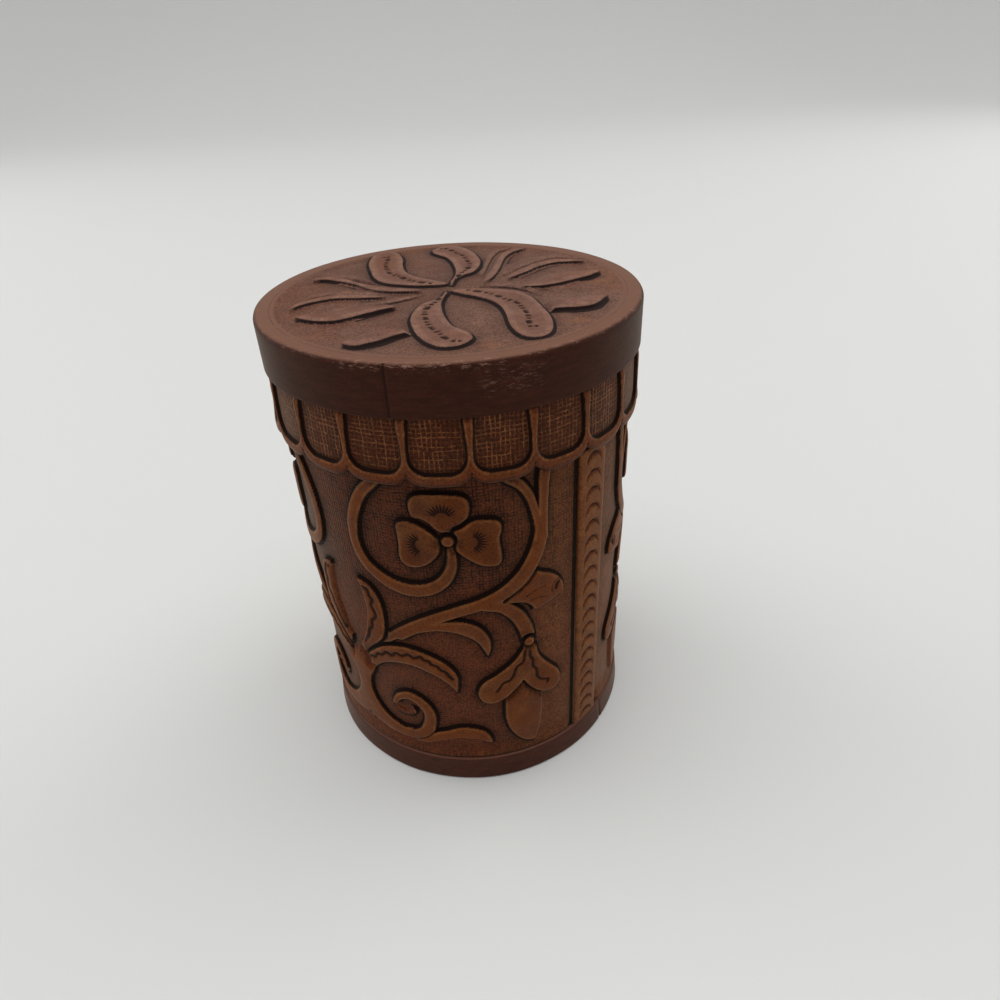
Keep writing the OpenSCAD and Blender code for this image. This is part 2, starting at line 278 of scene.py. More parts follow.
@dataclass(frozen=True)
class Dashes:
    """Uneven breaks in a pressed line: their spacing and depth in mm, and how they drift along it."""

    spacing: float = 2.7
    depth: float = 0.9
    solid: float = 0.55
    broken: float = 0.75
    drift: float = 0.22
    drift_rate: float = 2.1
    swing: float = 0.15
    swing_rate: float = 3.7

    def pinch(self, run: np.ndarray) -> np.ndarray:
        """Tells how much the line draws in.

        Args:
            run: Distance along the line.

        Returns:
            How much narrower it is there, in mm.
        """
        phase = run / self.spacing
        phase = phase + self.drift * np.sin(self.drift_rate * phase)
        breaks = self.depth * ease(self.solid, self.broken, np.abs(phase % 1.0 * 2.0 - 1.0))
        return self.swing * np.sin(self.swing_rate * phase) + breaks


@dataclass(frozen=True)
class Vein:
    """A thin dark line pressed into a leaf, whole or in dashes."""

    line: tuple[Point, ...]
    width: float = 0.4
    dashes: Optional[Dashes] = None


@dataclass(frozen=True)
class Fan:
    """A fan of short pressed lines round a point, with the angle between lines in degrees."""

    centre: Point
    heading: float
    pitch: float = 14.0
    reach: float = 7.5


@dataclass(frozen=True)
class CutProfile:
    """Depths, widths and reaches of the carving, in mm. Shares have no unit."""

    ground: float = 1.4
    cut: float = 1.9
    slope: float = 2.4
    wall: float = 0.45
    lip: float = 0.05
    rounding: float = 0.42
    rounding_width: float = 0.75
    dome_reach: float = 3.0
    stain_reach: float = 2.5
    quiet_core: float = 0.5
    quiet_level: float = 0.15
    quiet_reach: float = 1.8
    edge_in: float = 0.3
    edge_out: float = 0.1
    clear_in: float = 0.2
    dye_width: float = 0.5
    dye_fade: float = 0.8
    # How far dye and painted shade spread in front of tall bevels.
    dye_and_shade_spread: float = 1.7
    spread_from: float = 0.5
    # How far the painted shade reaches over the ground beside a cut.
    shade_and_stain: float = 2.6
    # Width of a form's edge that is lightened, partly as wear and partly as a painted highlight.
    rub_width: float = 1.2
    rub_core: float = 0.35
    stroke_pitch: float = 0.8
    stroke_hush: float = 4.0
    leaf_drop: float = 0.02
    least_width: float = 0.05
    bevel_ink: float = 1.4
    vein_core: float = 0.35
    vein_depth: float = 0.4
    vein_slope: float = 0.9
    vein_step: float = 0.3
    form_margin: float = 5.0
    bevel_margin: float = 3.0
    vein_margin: float = 2.0


class Carving:
    """Carved leather over a flat drawing: heights, dye, painted shade and stain, worn edges with painted
    highlights, strokes, veins and fans at each point.
    """

    def __init__(self, points: np.ndarray, profile: CutProfile) -> None:
        """Starts from bare ground.

        Args:
            points: Drawing places of the points, in mm.
            profile: Depths and widths of the carving.
        """
        count = len(points)
        self.points = points
        self.profile = profile
        self.height = np.full(count, -profile.ground)
        self.dye = np.zeros(count)
        self.shade_and_stain = np.zeros(count)
        self.wear_and_light = np.zeros(count)
        self.vein = np.full(count, FAR)
        self.fan = np.tile([0.0, -FAR], (count, 1))
        self.stroke = np.tile([0.0, FAR], (count, 1))

    def near(self, bound: np.ndarray, margin: float) -> np.ndarray:
        """Picks the points in a form's box.

        Args:
            bound: Points that bound the form.
            margin: How far past them to look.

        Returns:
            Indices of the points.
        """
        low, high = bound.min(0) - margin, bound.max(0) + margin
        return np.flatnonzero(((self.points >= low) & (self.points <= high)).all(1))

    def ink(self, picked: np.ndarray, gap: np.ndarray, run: np.ndarray, strength: np.ndarray) -> None:
        """Dyes the foot of a wall, paints shade and strokes on the ground beside it, lightens the form's
        edge as wear with a painted highlight and clears its top.

        Args:
            picked: Indices of the points.
            gap: Signed distance to the form's edge, negative on the form.
            run: Distance along the form's edge.
            strength: How dark the dye is, 0 to 1.
        """
        cut = self.profile
        outside = ease(-cut.edge_in, cut.edge_out, gap)
        line = outside * strength * (1 - ease(cut.dye_width, cut.dye_width + cut.dye_fade, gap))
        # Painted shade on the ground beside the wall.
        painted_shade = outside * strength * np.exp(-np.maximum(gap, 0.0) / cut.shade_and_stain)
        # The form's edge is lightened: partly wear, partly a painted highlight.
        rubbed = 1 - ease(cut.rub_core * cut.rub_width, cut.rub_width, -gap)
        worn = strength * ease(cut.lip, cut.edge_in, -gap) * rubbed
        self.dye[picked] = np.maximum(self.dye[picked] * outside, line)
        self.shade_and_stain[picked] = np.maximum(self.shade_and_stain[picked] * outside, painted_shade)
        self.wear_and_light[picked] = np.maximum(self.wear_and_light[picked] * outside, worn)
        cleared = gap < -cut.clear_in
        reach = np.where(cleared, FAR, gap + cut.stroke_hush * (1 - strength))
        closer = cleared | (reach < self.stroke[picked, 1])
        self.stroke[picked[closer]] = np.stack([run / cut.stroke_pitch, reach], 1)[closer]

    def raise_form(self, form: Raised) -> None:
        """Raises stems and plates and cuts round them.

        Args:
            form: What stands up together.
        """
        cut = self.profile
        bound = np.concatenate([part.reach() for part in form.parts])
        picked = self.near(bound, cut.slope + cut.form_margin)
        places = self.points[picked]
        gaps, runs = (np.array(v) for v in zip(*(part.measure(places) for part in form.parts)))
        first = gaps.argmin(0), np.arange(len(picked))
        gap, run = gaps[first], runs[first]
        hush = np.zeros(len(picked))
        for route in form.quiet:
            line = flowing(route)
            near = nearest_on(line, places)
            hush = np.maximum(hush, 1 - ease(cut.quiet_core, 1.0, near.distance / width_at(line, near)))
        depth = np.maximum(-gap, 0.0)
        top = form.dome * (1 - np.exp(-depth / cut.dome_reach)) - form.sink
        top -= cut.rounding * np.exp(-depth / cut.rounding_width)
        top -= hush * (cut.ground - cut.quiet_level) * np.exp(-depth / cut.quiet_reach)
        low = -cut.cut + (cut.cut - cut.ground) * hush + cut.cut * ease(0.0, cut.slope, gap)
        ground = np.minimum(self.height[picked], low)
        self.height[picked] = top + (ground - top) * ease(-cut.lip, cut.wall, gap)
        self.ink(picked, gap, run, 1 - hush)
        stain = form.stain * (1 - np.exp(-depth / cut.stain_reach))
        self.shade_and_stain[picked] = np.maximum(self.shade_and_stain[picked], stain)

    def bevel(self, form: Bevel) -> None:
        """Cuts one bevelled edge and raises the leaf on one side of it.

        Args:
            form: The cut and its leaf.
        """
        cut = self.profile
        line = flowing(form.line)
        picked = self.near(line, form.width + cut.slope + cut.bevel_margin)
        near = nearest_on(line, self.points[picked])
        taper = np.sqrt(np.clip(np.sin(np.pi * near.run / near.length), 0.0, 1.0))
        gap = -near.side * near.distance
        swell = 1 - ease(form.fall, 1.0, near.distance / np.maximum(form.width * taper, cut.least_width))
        top = -cut.ground + (cut.ground - cut.leaf_drop) * form.rise * swell
        top -= cut.rounding * form.rise * np.exp(-near.distance / cut.rounding_width) * taper
        low = -cut.ground - (cut.cut - cut.ground) * taper + cut.cut * ease(0.0, cut.slope, near.distance)
        old = self.height[picked]
        leaf, ground = np.maximum(old, top), np.minimum(old, low)
        self.height[picked] = leaf + (ground - leaf) * ease(-cut.lip, cut.wall, gap)
        inked = (gap >= 0) | (top >= old)
        # In front of tall bevels the dark band widens: dye in the cut and painted shade below the wall.
        spread = cut.dye_and_shade_spread * max(form.rise - cut.spread_from, 0.0) * taper ** 3
        dyed = np.where(gap > 0, np.maximum(gap - spread, 0.0), gap)
        strength = np.minimum(1.0, cut.bevel_ink * taper * form.rise)
        self.ink(picked[inked], dyed[inked], near.run[inked], strength[inked])

    def press_vein(self, form: Vein) -> None:
        """Presses a thin dark line.

        Args:
            form: The line.
        """
        cut = self.profile
        line = flowing(form.line, step=cut.vein_step)
        picked = self.near(line, cut.vein_margin + form.width)
        near = nearest_on(line, self.points[picked])
        gap = np.maximum(near.distance - form.width + cut.vein_core, 0.0)
        if form.dashes:
            gap += form.dashes.pinch(near.run)
        self.vein[picked] = np.minimum(self.vein[picked], gap)
        self.height[picked] -= cut.vein_depth * (1 - ease(0.0, cut.vein_slope, gap))

    def press_fan(self, form: Fan) -> None:
        """Lays out the polar drawing of a fan of short lines.

        Args:
            form: The fan.
        """
        off = self.points - np.asarray(form.centre)
        distance = np.hypot(off[:, 0], off[:, 1])
        turn = np.degrees(np.arctan2(off[:, 1], off[:, 0])) - form.heading
        turn = (turn + 180.0) % 360.0 - 180.0
        hit = distance < form.reach
        self.fan[hit, 0] = turn[hit] / form.pitch
        self.fan[hit, 1] = distance[hit]

    def carve(self, forms: Sequence) -> None:
        """Carves forms in order, from the lowest to the topmost.

        Args:
            forms: Raised forms, bevels, veins and fans.
        """
        steps: dict[type, Callable] = {Raised: self.raise_form, Bevel: self.bevel, Vein: self.press_vein,
                                       Fan: self.press_fan}
        for form in forms:
            steps[type(form)](form)

    def values(self) -> dict[str, np.ndarray]:
        """Gives the attributes that the finish reads."""
        relief = np.clip(1 + self.height / self.profile.ground, 0.0, 1.0)
        return {"relief": relief, "dye": self.dye, "shade_and_stain": self.shade_and_stain, "wear_and_light": self.wear_and_light,
                "vein": self.vein, "fan": self.fan, "stroke": self.stroke}


def boss(centre: Point, r: float, sides: int = 12) -> Plate:
    """Makes a small round plate.

    Args:
        centre: Its middle.
        r: Its radius, in mm.
        sides: Points of its outline.

    Returns:
        The plate.
    """
    turns = [2 * math.pi * i / sides for i in range(sides)]
    return Plate(tuple((centre[0] + r * math.cos(a), centre[1] + r * math.sin(a)) for a in turns))


# Points of the body's ornament are (arc length from the container's front, height), in mm.
SCROLL_STEM = Stem(((-35, 56.5, 1.2), (-28, 62.2, 1.5), (-21, 67.8, 1.8), (-13.5, 72.3, 2.0),
    (-6, 75.7, 2.0), (2, 78.2, 2.2), (8.5, 81, 2.4), (13.5, 84.8, 2.5), (17.3, 89.8, 2.5),
    (19.8, 95.5, 2.4), (20.4, 101, 1.9), (18.9, 107, 1.3), (17.4, 112, 1.3), (15.2, 116, 1.4),
    (12, 119, 1.6), (7, 121.8, 1.6), (-8, 124, 1.5), (-21.5, 121.5, 1.6), (-26.3, 118, 1.7),
    (-29.6, 114.6, 1.8), (-32.3, 110, 1.9), (-34.2, 105, 1.9), (-35, 100, 1.8), (-34.7, 95.5, 1.8),
    (-33, 91, 1.9), (-29.7, 87.6, 2.0), (-24.6, 84.7, 2.2), (-18.8, 83.4, 2.3), (-13.2, 84.2, 2.2),
    (-8.7, 87, 2.0), (-6, 91.3, 1.7), (-5.2, 95.6, 1.4), (-5.6, 99, 1.0)))
UPPER_BRANCH = Stem(((20.8, 98, 2.1), (21.3, 105, 1.6), (21.5, 111, 1.6), (21.8, 117, 1.8),
    (22.6, 122.5, 2.0)))
LOWER_BRANCH = Stem(((3, 77.5, 2.0), (8, 76, 2.1), (12, 72.2, 2.3), (14.2, 68, 2.3), (15.4, 64.2, 2.3),
    (16.1, 60, 2.0)))
SICKLE = Plate(((-27, 63.5), (-23.8, 62.4), (-20.2, 65), (-16.8, 67), (-10.9, 68.3), (-5, 67.1),
    (-0.1, 63.4), (2.9, 57), (2.9, 57), (3.9, 60.2), (3.7, 64.3), (2, 68.2), (-1.1, 70.9), (-4.7, 72.1),
    (-8.3, 72.1), (-12.1, 71.4), (-17, 71.5), (-22, 68)))
TOP_PETAL = Plate(((-6, 104), (-6, 104), (-8.5, 105), (-10.7, 107.4), (-12.7, 108.7), (-15.2, 109.4),
    (-15.8, 112.4), (-15.2, 114.8), (-13.4, 116.2), (-10.2, 116.6), (-6.3, 116.5), (-2.3, 116.1),
    (0, 114.9), (0.7, 112.4), (0.2, 109.5), (-1.3, 107.2), (-3.5, 105.1)))
LEFT_PETAL = Plate(((-8.9, 102.4), (-10.6, 104.4), (-13, 106.2), (-15.4, 107.4), (-18.4, 107.5),
    (-20.1, 106.2), (-20.1, 102.8), (-20.1, 99.2), (-20.4, 95.9), (-19.7, 93.3), (-17.6, 92.1),
    (-14.9, 92.2), (-12.1, 93.5), (-10, 95.5), (-8.5, 97.9), (-8.4, 100.3)))
RIGHT_PETAL = Plate(((-4, 104.6), (-1.9, 105.7), (1.1, 107.7), (4.4, 107.8), (7.5, 107.1), (8.9, 105.6),
    (9, 103.6), (8.3, 101.2), (8.4, 99.1), (8.7, 95.8), (8.7, 93.4), (7.5, 91.8), (5.3, 91.7),
    (2.3, 92.7), (-0.5, 94.7), (-2.9, 97), (-4, 98.9), (-3.4, 101.5)))
BUD = Plate(((8.3, 77.1), (8.3, 77.1), (14.3, 82.6), (18.4, 86.2), (21.3, 85.1), (24.1, 83.6),
    (26.4, 81.3), (28, 78.7), (28.4, 76.4), (27.7, 74.2), (25.5, 72.7), (22.6, 71.7), (19.8, 71.3),
    (18.2, 71.4), (18.2, 71.4), (17.2, 73.7), (15.2, 75.6), (12, 76.7)))
CALYX = Plate(((14.6, 58), (12, 54.5), (9, 51.5), (5, 48.5), (1, 46), (-0.8, 43), (-1, 40), (0.3, 37.2),
    (2.7, 36), (5.2, 36.3), (7.8, 37.6), (10.3, 39.8), (12.6, 42.2), (13.8, 44), (13.8, 44), (15, 41.6),
    (17, 38.6), (19.5, 36.2), (22, 34.9), (25, 34.8), (27, 36.8), (27.3, 39.6), (26.5, 42.5), (24, 46),
    (21, 50), (19.2, 53.5), (18, 58)))
MIDDLE_LEAF = Plate(((8.2, 40), (7.5, 35), (7.3, 29), (8.2, 23.5), (10.2, 18.8), (13, 15.2), (15.8, 13.6),
    (18.3, 13.9), (19.8, 17.5), (20.6, 23), (21, 29), (20.6, 35), (19, 40), (14, 44)))
TRUNK = Plate(((-50, 50), (-41, 49), (-37, 45), (-39.6, 38.9), (-40.4, 33.9), (-39.7, 30.1),
    (-38.1, 26.9), (-35.5, 23.8), (-32.2, 21.8), (-28.2, 20.6), (-24.5, 20.9), (-22.5, 16.4), (-26.9, 15),
    (-31.8, 14.5), (-36.3, 14.9), (-41, 16.2), (-50, 17)))
VOLUTE = Stem(((-29.5, 17.7, 2.9), (-23.8, 18.6, 2.4), (-20, 21.3, 2.4), (-18.3, 25.4, 2.2),
    (-17.8, 29.4, 2.1), (-18.7, 32.9, 2.0), (-21.2, 35.9, 1.95), (-24.4, 37.2, 1.8), (-27.6, 36, 1.5),
    (-29.7, 33.6, 1.15), (-30.3, 31, 1.1), (-29.6, 28.9, 1.1), (-27.6, 28, 1.1), (-25.4, 28.6, 1.2),
    (-23.9, 30, 1.3)))
CLUSTER_LEAF = Plate(((-37.3, 82.6), (-37.3, 82.6), (-33, 81.3), (-30.6, 78.5), (-29.4, 75), (-29, 70.6),
    (-29.4, 65.6), (-30.5, 61.5), (-33, 58), (-36.5, 54.5), (-40, 50), (-40, 50), (-41.2, 54.2),
    (-39.5, 58), (-37.9, 62.5), (-36.6, 67), (-36.1, 71), (-36.2, 75), (-36.6, 79)))
ACANTHUS = Plate(((-39.5, 48), (-38.7, 50), (-36.3, 53), (-31.4, 57), (-25.5, 59.2), (-20.3, 59.2),
    (-15.5, 57.7), (-11.4, 55.3), (-8.7, 52.5), (-7.1, 49.2), (-7.1, 45.3), (-7.7, 41.8), (-7.7, 41.8),
    (-10.1, 45.6), (-13.1, 48.3), (-16.8, 50.4), (-20.6, 51.8), (-24.6, 52), (-29.1, 50.9), (-33.5, 48.4),
    (-37, 45), (-39.5, 45)))
FOOT_LEAF = Plate(((-27, 14), (-21, 18.5), (-16.2, 21.8), (-12.3, 23.4), (-8.4, 25), (-4.5, 25),
    (-1.5, 24), (0.9, 22), (2.4, 18.6), (2.4, 16.8), (2.4, 16.8), (-3.3, 18.8), (-8.9, 19), (-15.1, 16.8),
    (-20.1, 14.3)))
PETALS = (TOP_PETAL, LEFT_PETAL, RIGHT_PETAL)
# Quiet lines are (arc length, height, reach).
BUD_QUIET = ((27.6, 73, 2.5), (22.6, 71, 3.0), (19.4, 70.4, 2.5))
MIDDLE_LEAF_QUIET = ((21.5, 34, 1.8), (21.8, 28, 2.4), (21, 20, 2.4), (19, 13, 2.0))
CLUSTER_LEAF_QUIET = ((-37.4, 80, 1.5), (-37, 71, 2.2), (-38.8, 62.5, 2.2), (-41, 56, 2.0))
FOOT_QUIET = ((-50, 14.5, 5.0), (-41, 14.5, 5.0), (-31.8, 13, 5.0), (-26, 13, 4.0), (-20, 13.5, 3.5),
    (-15, 15.5, 3.0), (-8.9, 17.8, 2.6), (-2, 17.5, 2.2))
VOLUTE_QUIET = ((-29.8, 30.2, 2.0), (-27.6, 28.6, 2.3), (-25, 29.8, 2.3))
TRUNK_QUIET = ((-50, 50, 5.0), (-40, 49, 5.0))
ACANTHUS_QUIET = ((-42, 44, 4.5), (-39, 46, 3.5))
BODY_FORMS = (
    Raised((SCROLL_STEM, UPPER_BRANCH, LOWER_BRANCH, BUD, SICKLE), quiet=(BUD_QUIET,)),
    *(Raised((petal,), dome=0.15, stain=0.75) for petal in PETALS),
    Raised((boss((-6, 101.4), 1.8),), dome=0.2),
    Raised((MIDDLE_LEAF,), dome=0.1, sink=0.1, quiet=(MIDDLE_LEAF_QUIET,)),
    Raised((CALYX,), dome=0.1, stain=0.3),
    Raised((boss((16.1, 59.8), 1.7),), dome=0.1),
    Raised((CLUSTER_LEAF,), dome=0.15, quiet=(CLUSTER_LEAF_QUIET,)),
    Raised((VOLUTE, TRUNK, FOOT_LEAF), dome=0.1, quiet=(FOOT_QUIET, VOLUTE_QUIET, TRUNK_QUIET)),
    Raised((ACANTHUS,), dome=0.15, quiet=(ACANTHUS_QUIET,)),
    Vein(((-23.6, 16.4), (-19.9, 18.4), (-17.2, 21.6)), 0.15),
    Vein(((8.8, 77.8), (13, 80.6), (16, 83), (18.7, 86)), 0.35),
    Vein(((24.3, 76.2), (23.9, 77.9), (24.6, 79.9), (26, 80.6), (27.1, 79.8)), 0.05),
    Vein(((25.4, 77.6), (25.7, 78.9), (26.4, 79.2)), 0.5),
    Vein(((15.2, 78.2), (18.2, 79.6), (21.4, 80.2)), 0.0),
    Vein(((16.8, 76.4), (19.6, 76.6), (22.2, 75.6)), 0.0),
    Vein(((-43.5, 15.2), (-43.5, 19.3)), 0.55),
    Vein(((14.5, 56.2), (14.2, 53.4), (13.7, 51.8), (12.4, 51.2), (11.5, 50.3), (10.8, 48.2),
        (10.1, 46.6), (9.2, 45.4), (7.7, 45), (6.8, 44.3), (5.8, 42.7), (4.9, 41.4))),
    Vein(((16.1, 55.6), (16.2, 53.7), (17.1, 51.6), (16.9, 49.4), (18.2, 47), (18.3, 44.5), (19.1, 42.6),
        (20.5, 41.4), (22.3, 40.6), (22, 39.4))),
    Vein(((-38.6, 46.7), (-38.7, 48.2), (-37.2, 50.2), (-35.2, 50.9), (-33.8, 52.9), (-32.1, 53.2),
        (-30.1, 55.2), (-28.3, 54.6), (-26.5, 56.2), (-24.5, 55.7), (-22.3, 56.9), (-20.4, 55.9),
        (-18.3, 56.8), (-17.1, 55.6), (-15.7, 55.5), (-14.8, 54.1), (-13.2, 53.6), (-12.2, 52.2),
        (-10.7, 51.3), (-9.5, 49.5), (-8.8, 48.4)), 0.5),
    Vein(((-35.2, 79.8), (-33.5, 79.4), (-33, 77.2), (-32.1, 76), (-32.9, 73.7), (-32.3, 72),
        (-31.9, 69.6), (-33.7, 66.9), (-34.1, 64.6), (-35.6, 62.2), (-36.3, 59.8), (-38.7, 56.4)), 0.55),
    Fan((-6.9, 109.2), 90),
    Fan((-13.0, 100.3), 180),
    Fan((0.2, 101), 0),
)
# Points of the lid's ornament are (x, y), in mm.
LEFT_PADDLE = ((-1, -0.5), (-2.5, -6.2), (-5.1, -9.6), (-7.8, -12), (-10, -17.4), (-10.9, -23.7),
    (-10.5, -29.2), (-9.2, -35.6), (-7.1, -40.9), (-4.7, -44.3), (-2.3, -45.7), (0.5, -45.6), (3, -44),
    (4.8, -41), (4.3, -37.4), (2.5, -34.6), (0.3, -31.3), (-1.3, -25.9), (-2.2, -19.5), (-2.4, -12.8),
    (-1.5, -7), (-0.4, -3))
RIGHT_PADDLE = ((0.5, -1.3), (7, -1), (13.4, -2.9), (19.5, -6.4), (22.9, -12.3), (24.6, -20.4),
    (25.7, -27.9), (25.7, -33.9), (24.7, -39.4), (22.8, -42.4), (19.7, -43.2), (16.9, -41.4),
    (15.2, -36.7), (14.5, -31.7), (14.3, -24.7), (13.4, -18.1), (11.1, -12.7), (7.9, -9), (3.6, -5.2))
LEFT_PADDLE_VEIN = ((-2.4, -5), (-3.9, -10.9), (-5.6, -14.1), (-7, -18.8), (-6.8, -24.5), (-5.6, -31.3),
    (-4.1, -34.5), (-2.2, -39.1), (-0.3, -41.9), (1.4, -42.5))
RIGHT_PADDLE_VEIN = ((4.7, -1.9), (9.3, -5), (12.9, -8.6), (14.8, -12), (18.1, -16.2), (19.2, -20.7),
    (20, -26.8), (19.6, -32.7), (20, -36.2), (22.1, -34.9))


def opposite(points: Sequence[Point]) -> tuple[Point, ...]:
    """Turns points of the lid's ornament half a turn about its middle.

    Args:
        points: The points.

    Returns:
        The turned points.
    """
    middle_y = 2.0
    return tuple((-x, 2 * middle_y - y) for x, y in points)


PADDLES = (opposite(LEFT_PADDLE), opposite(RIGHT_PADDLE), LEFT_PADDLE, RIGHT_PADDLE)
PADDLE_VEINS = (
    LEFT_PADDLE_VEIN, RIGHT_PADDLE_VEIN, opposite(LEFT_PADDLE_VEIN), opposite(RIGHT_PADDLE_VEIN))
LID_FORMS = (
    Bevel(((-41.6, 16.3), (-39, 17.5), (-35.8, 16.3), (-31.6, 13.5), (-27.9, 10.1), (-23.3, 4.5),
        (-17.3, 1), (-8, -1)), 7, rise=1.1),
    Bevel(((-36.9, 21.5), (-33, 20.7), (-29.7, 17.7), (-23.7, 11.1), (-14, 4.5)), 5, rise=0.35),
    Bevel(((-41, 0.3), (-37.6, 2.4), (-31.7, 2.1), (-20, -0.3)), 6, rise=0.4),
    Bevel(((-44.5, -10.6), (-42.2, -6.8), (-38.3, -4), (-32.9, -2.2), (-25.7, -3.3), (-18.2, -4.4)), 4,
        rise=1.1),
    Bevel(((-42, -18), (-37.4, -20.8), (-33.4, -21.9), (-29.5, -21.5), (-24.4, -18.5), (-19.2, -15.9),
        (-15, -14)), 13, rise=1.35),
    Bevel(((-27.5, -39.5), (-24, -41.4), (-21.5, -40.3), (-18, -38.5), (-14.4, -36), (-9.5, -34)), 9,
        rise=1.3),
    Bevel(((10.6, 3.8), (13.6, 8.9), (16.4, 18), (18.8, 28.7), (21.6, 35), (27, 40)), 5, rise=1.1),
    Bevel(((10.5, 12), (12.2, 19), (14.8, 31), (18.1, 39.5), (22.2, 42.5)), 4, rise=0.6),
    Bevel(((17, 11.5), (23.8, 19.7), (29.8, 24.8), (35.6, 27.5), (41, 24.5)), 6, rise=0.45),
    Bevel(((18, 6), (24.2, 12.4), (29, 17.6), (34.8, 20.5), (43.5, 19.5)), 5, rise=1.1),
    Bevel(((21, -3), (26.3, -3.4), (31.4, -2), (36.7, 0.7), (42.2, 3.5), (46.2, 7)), 12, rise=1.35),
    Bevel(((24, -24.5), (29.6, -23.7), (34, -23.8), (38.7, -22.4), (43.5, -16.5)), 12, rise=1.35),
    Bevel(((9, 1.5), (16, 0), (21, -3.5), (25.5, -10)), 4, rise=0.5),
    Bevel(((-26, -9), (-19, -9), (-13, -6.5), (-7, -3)), 4, rise=0.5),
    *(Raised((Plate(outline),), dome=-0.3) for outline in PADDLES),
    *(Vein(line, 0.6, Dashes()) for line in PADDLE_VEINS),
)


def srgb(red: int, green: int, blue: int) -> Triple:
    """Turns a display colour into the linear colour that shaders use.

    Args:
        red: Red, 0 to 255.
        green: Green, 0 to 255.
        blue: Blue, 0 to 255.

    Returns:
        The linear colour.
    """
    shares = (red / 255, green / 255, blue / 255)
    return tuple(v / 12.92 if v <= 0.04045 else ((v + 0.055) / 1.055) ** 2.4 for v in shares)


@dataclass(frozen=True)
class Mottling:
    """A noise pattern: its scale per metre, its octaves and the weight of the finer ones."""

    scale: float
    detail: float
    roughness: float = 0.5


CREASES = Mottling(420.0, 4.0, 0.6)
FINE_MOTTLING = Mottling(260.0, 3.0, 0.65)
DYE_WANDER = Mottling(700.0, 3.0)
HATCH_WANDER = Mottling(240.0, 2.0)
HATCH_UNEVENNESS = Mottling(900.0, 3.0)
HATCH_BREAKS = Mottling(520.0, 2.0)
STAIN_PATCHES = Mottling(28.0, 4.0, 0.6)
BLUSH_PATCHES = Mottling(105.0, 3.0, 0.6)
BAND_CREASES = Mottling(160.0, 5.0, 0.65)


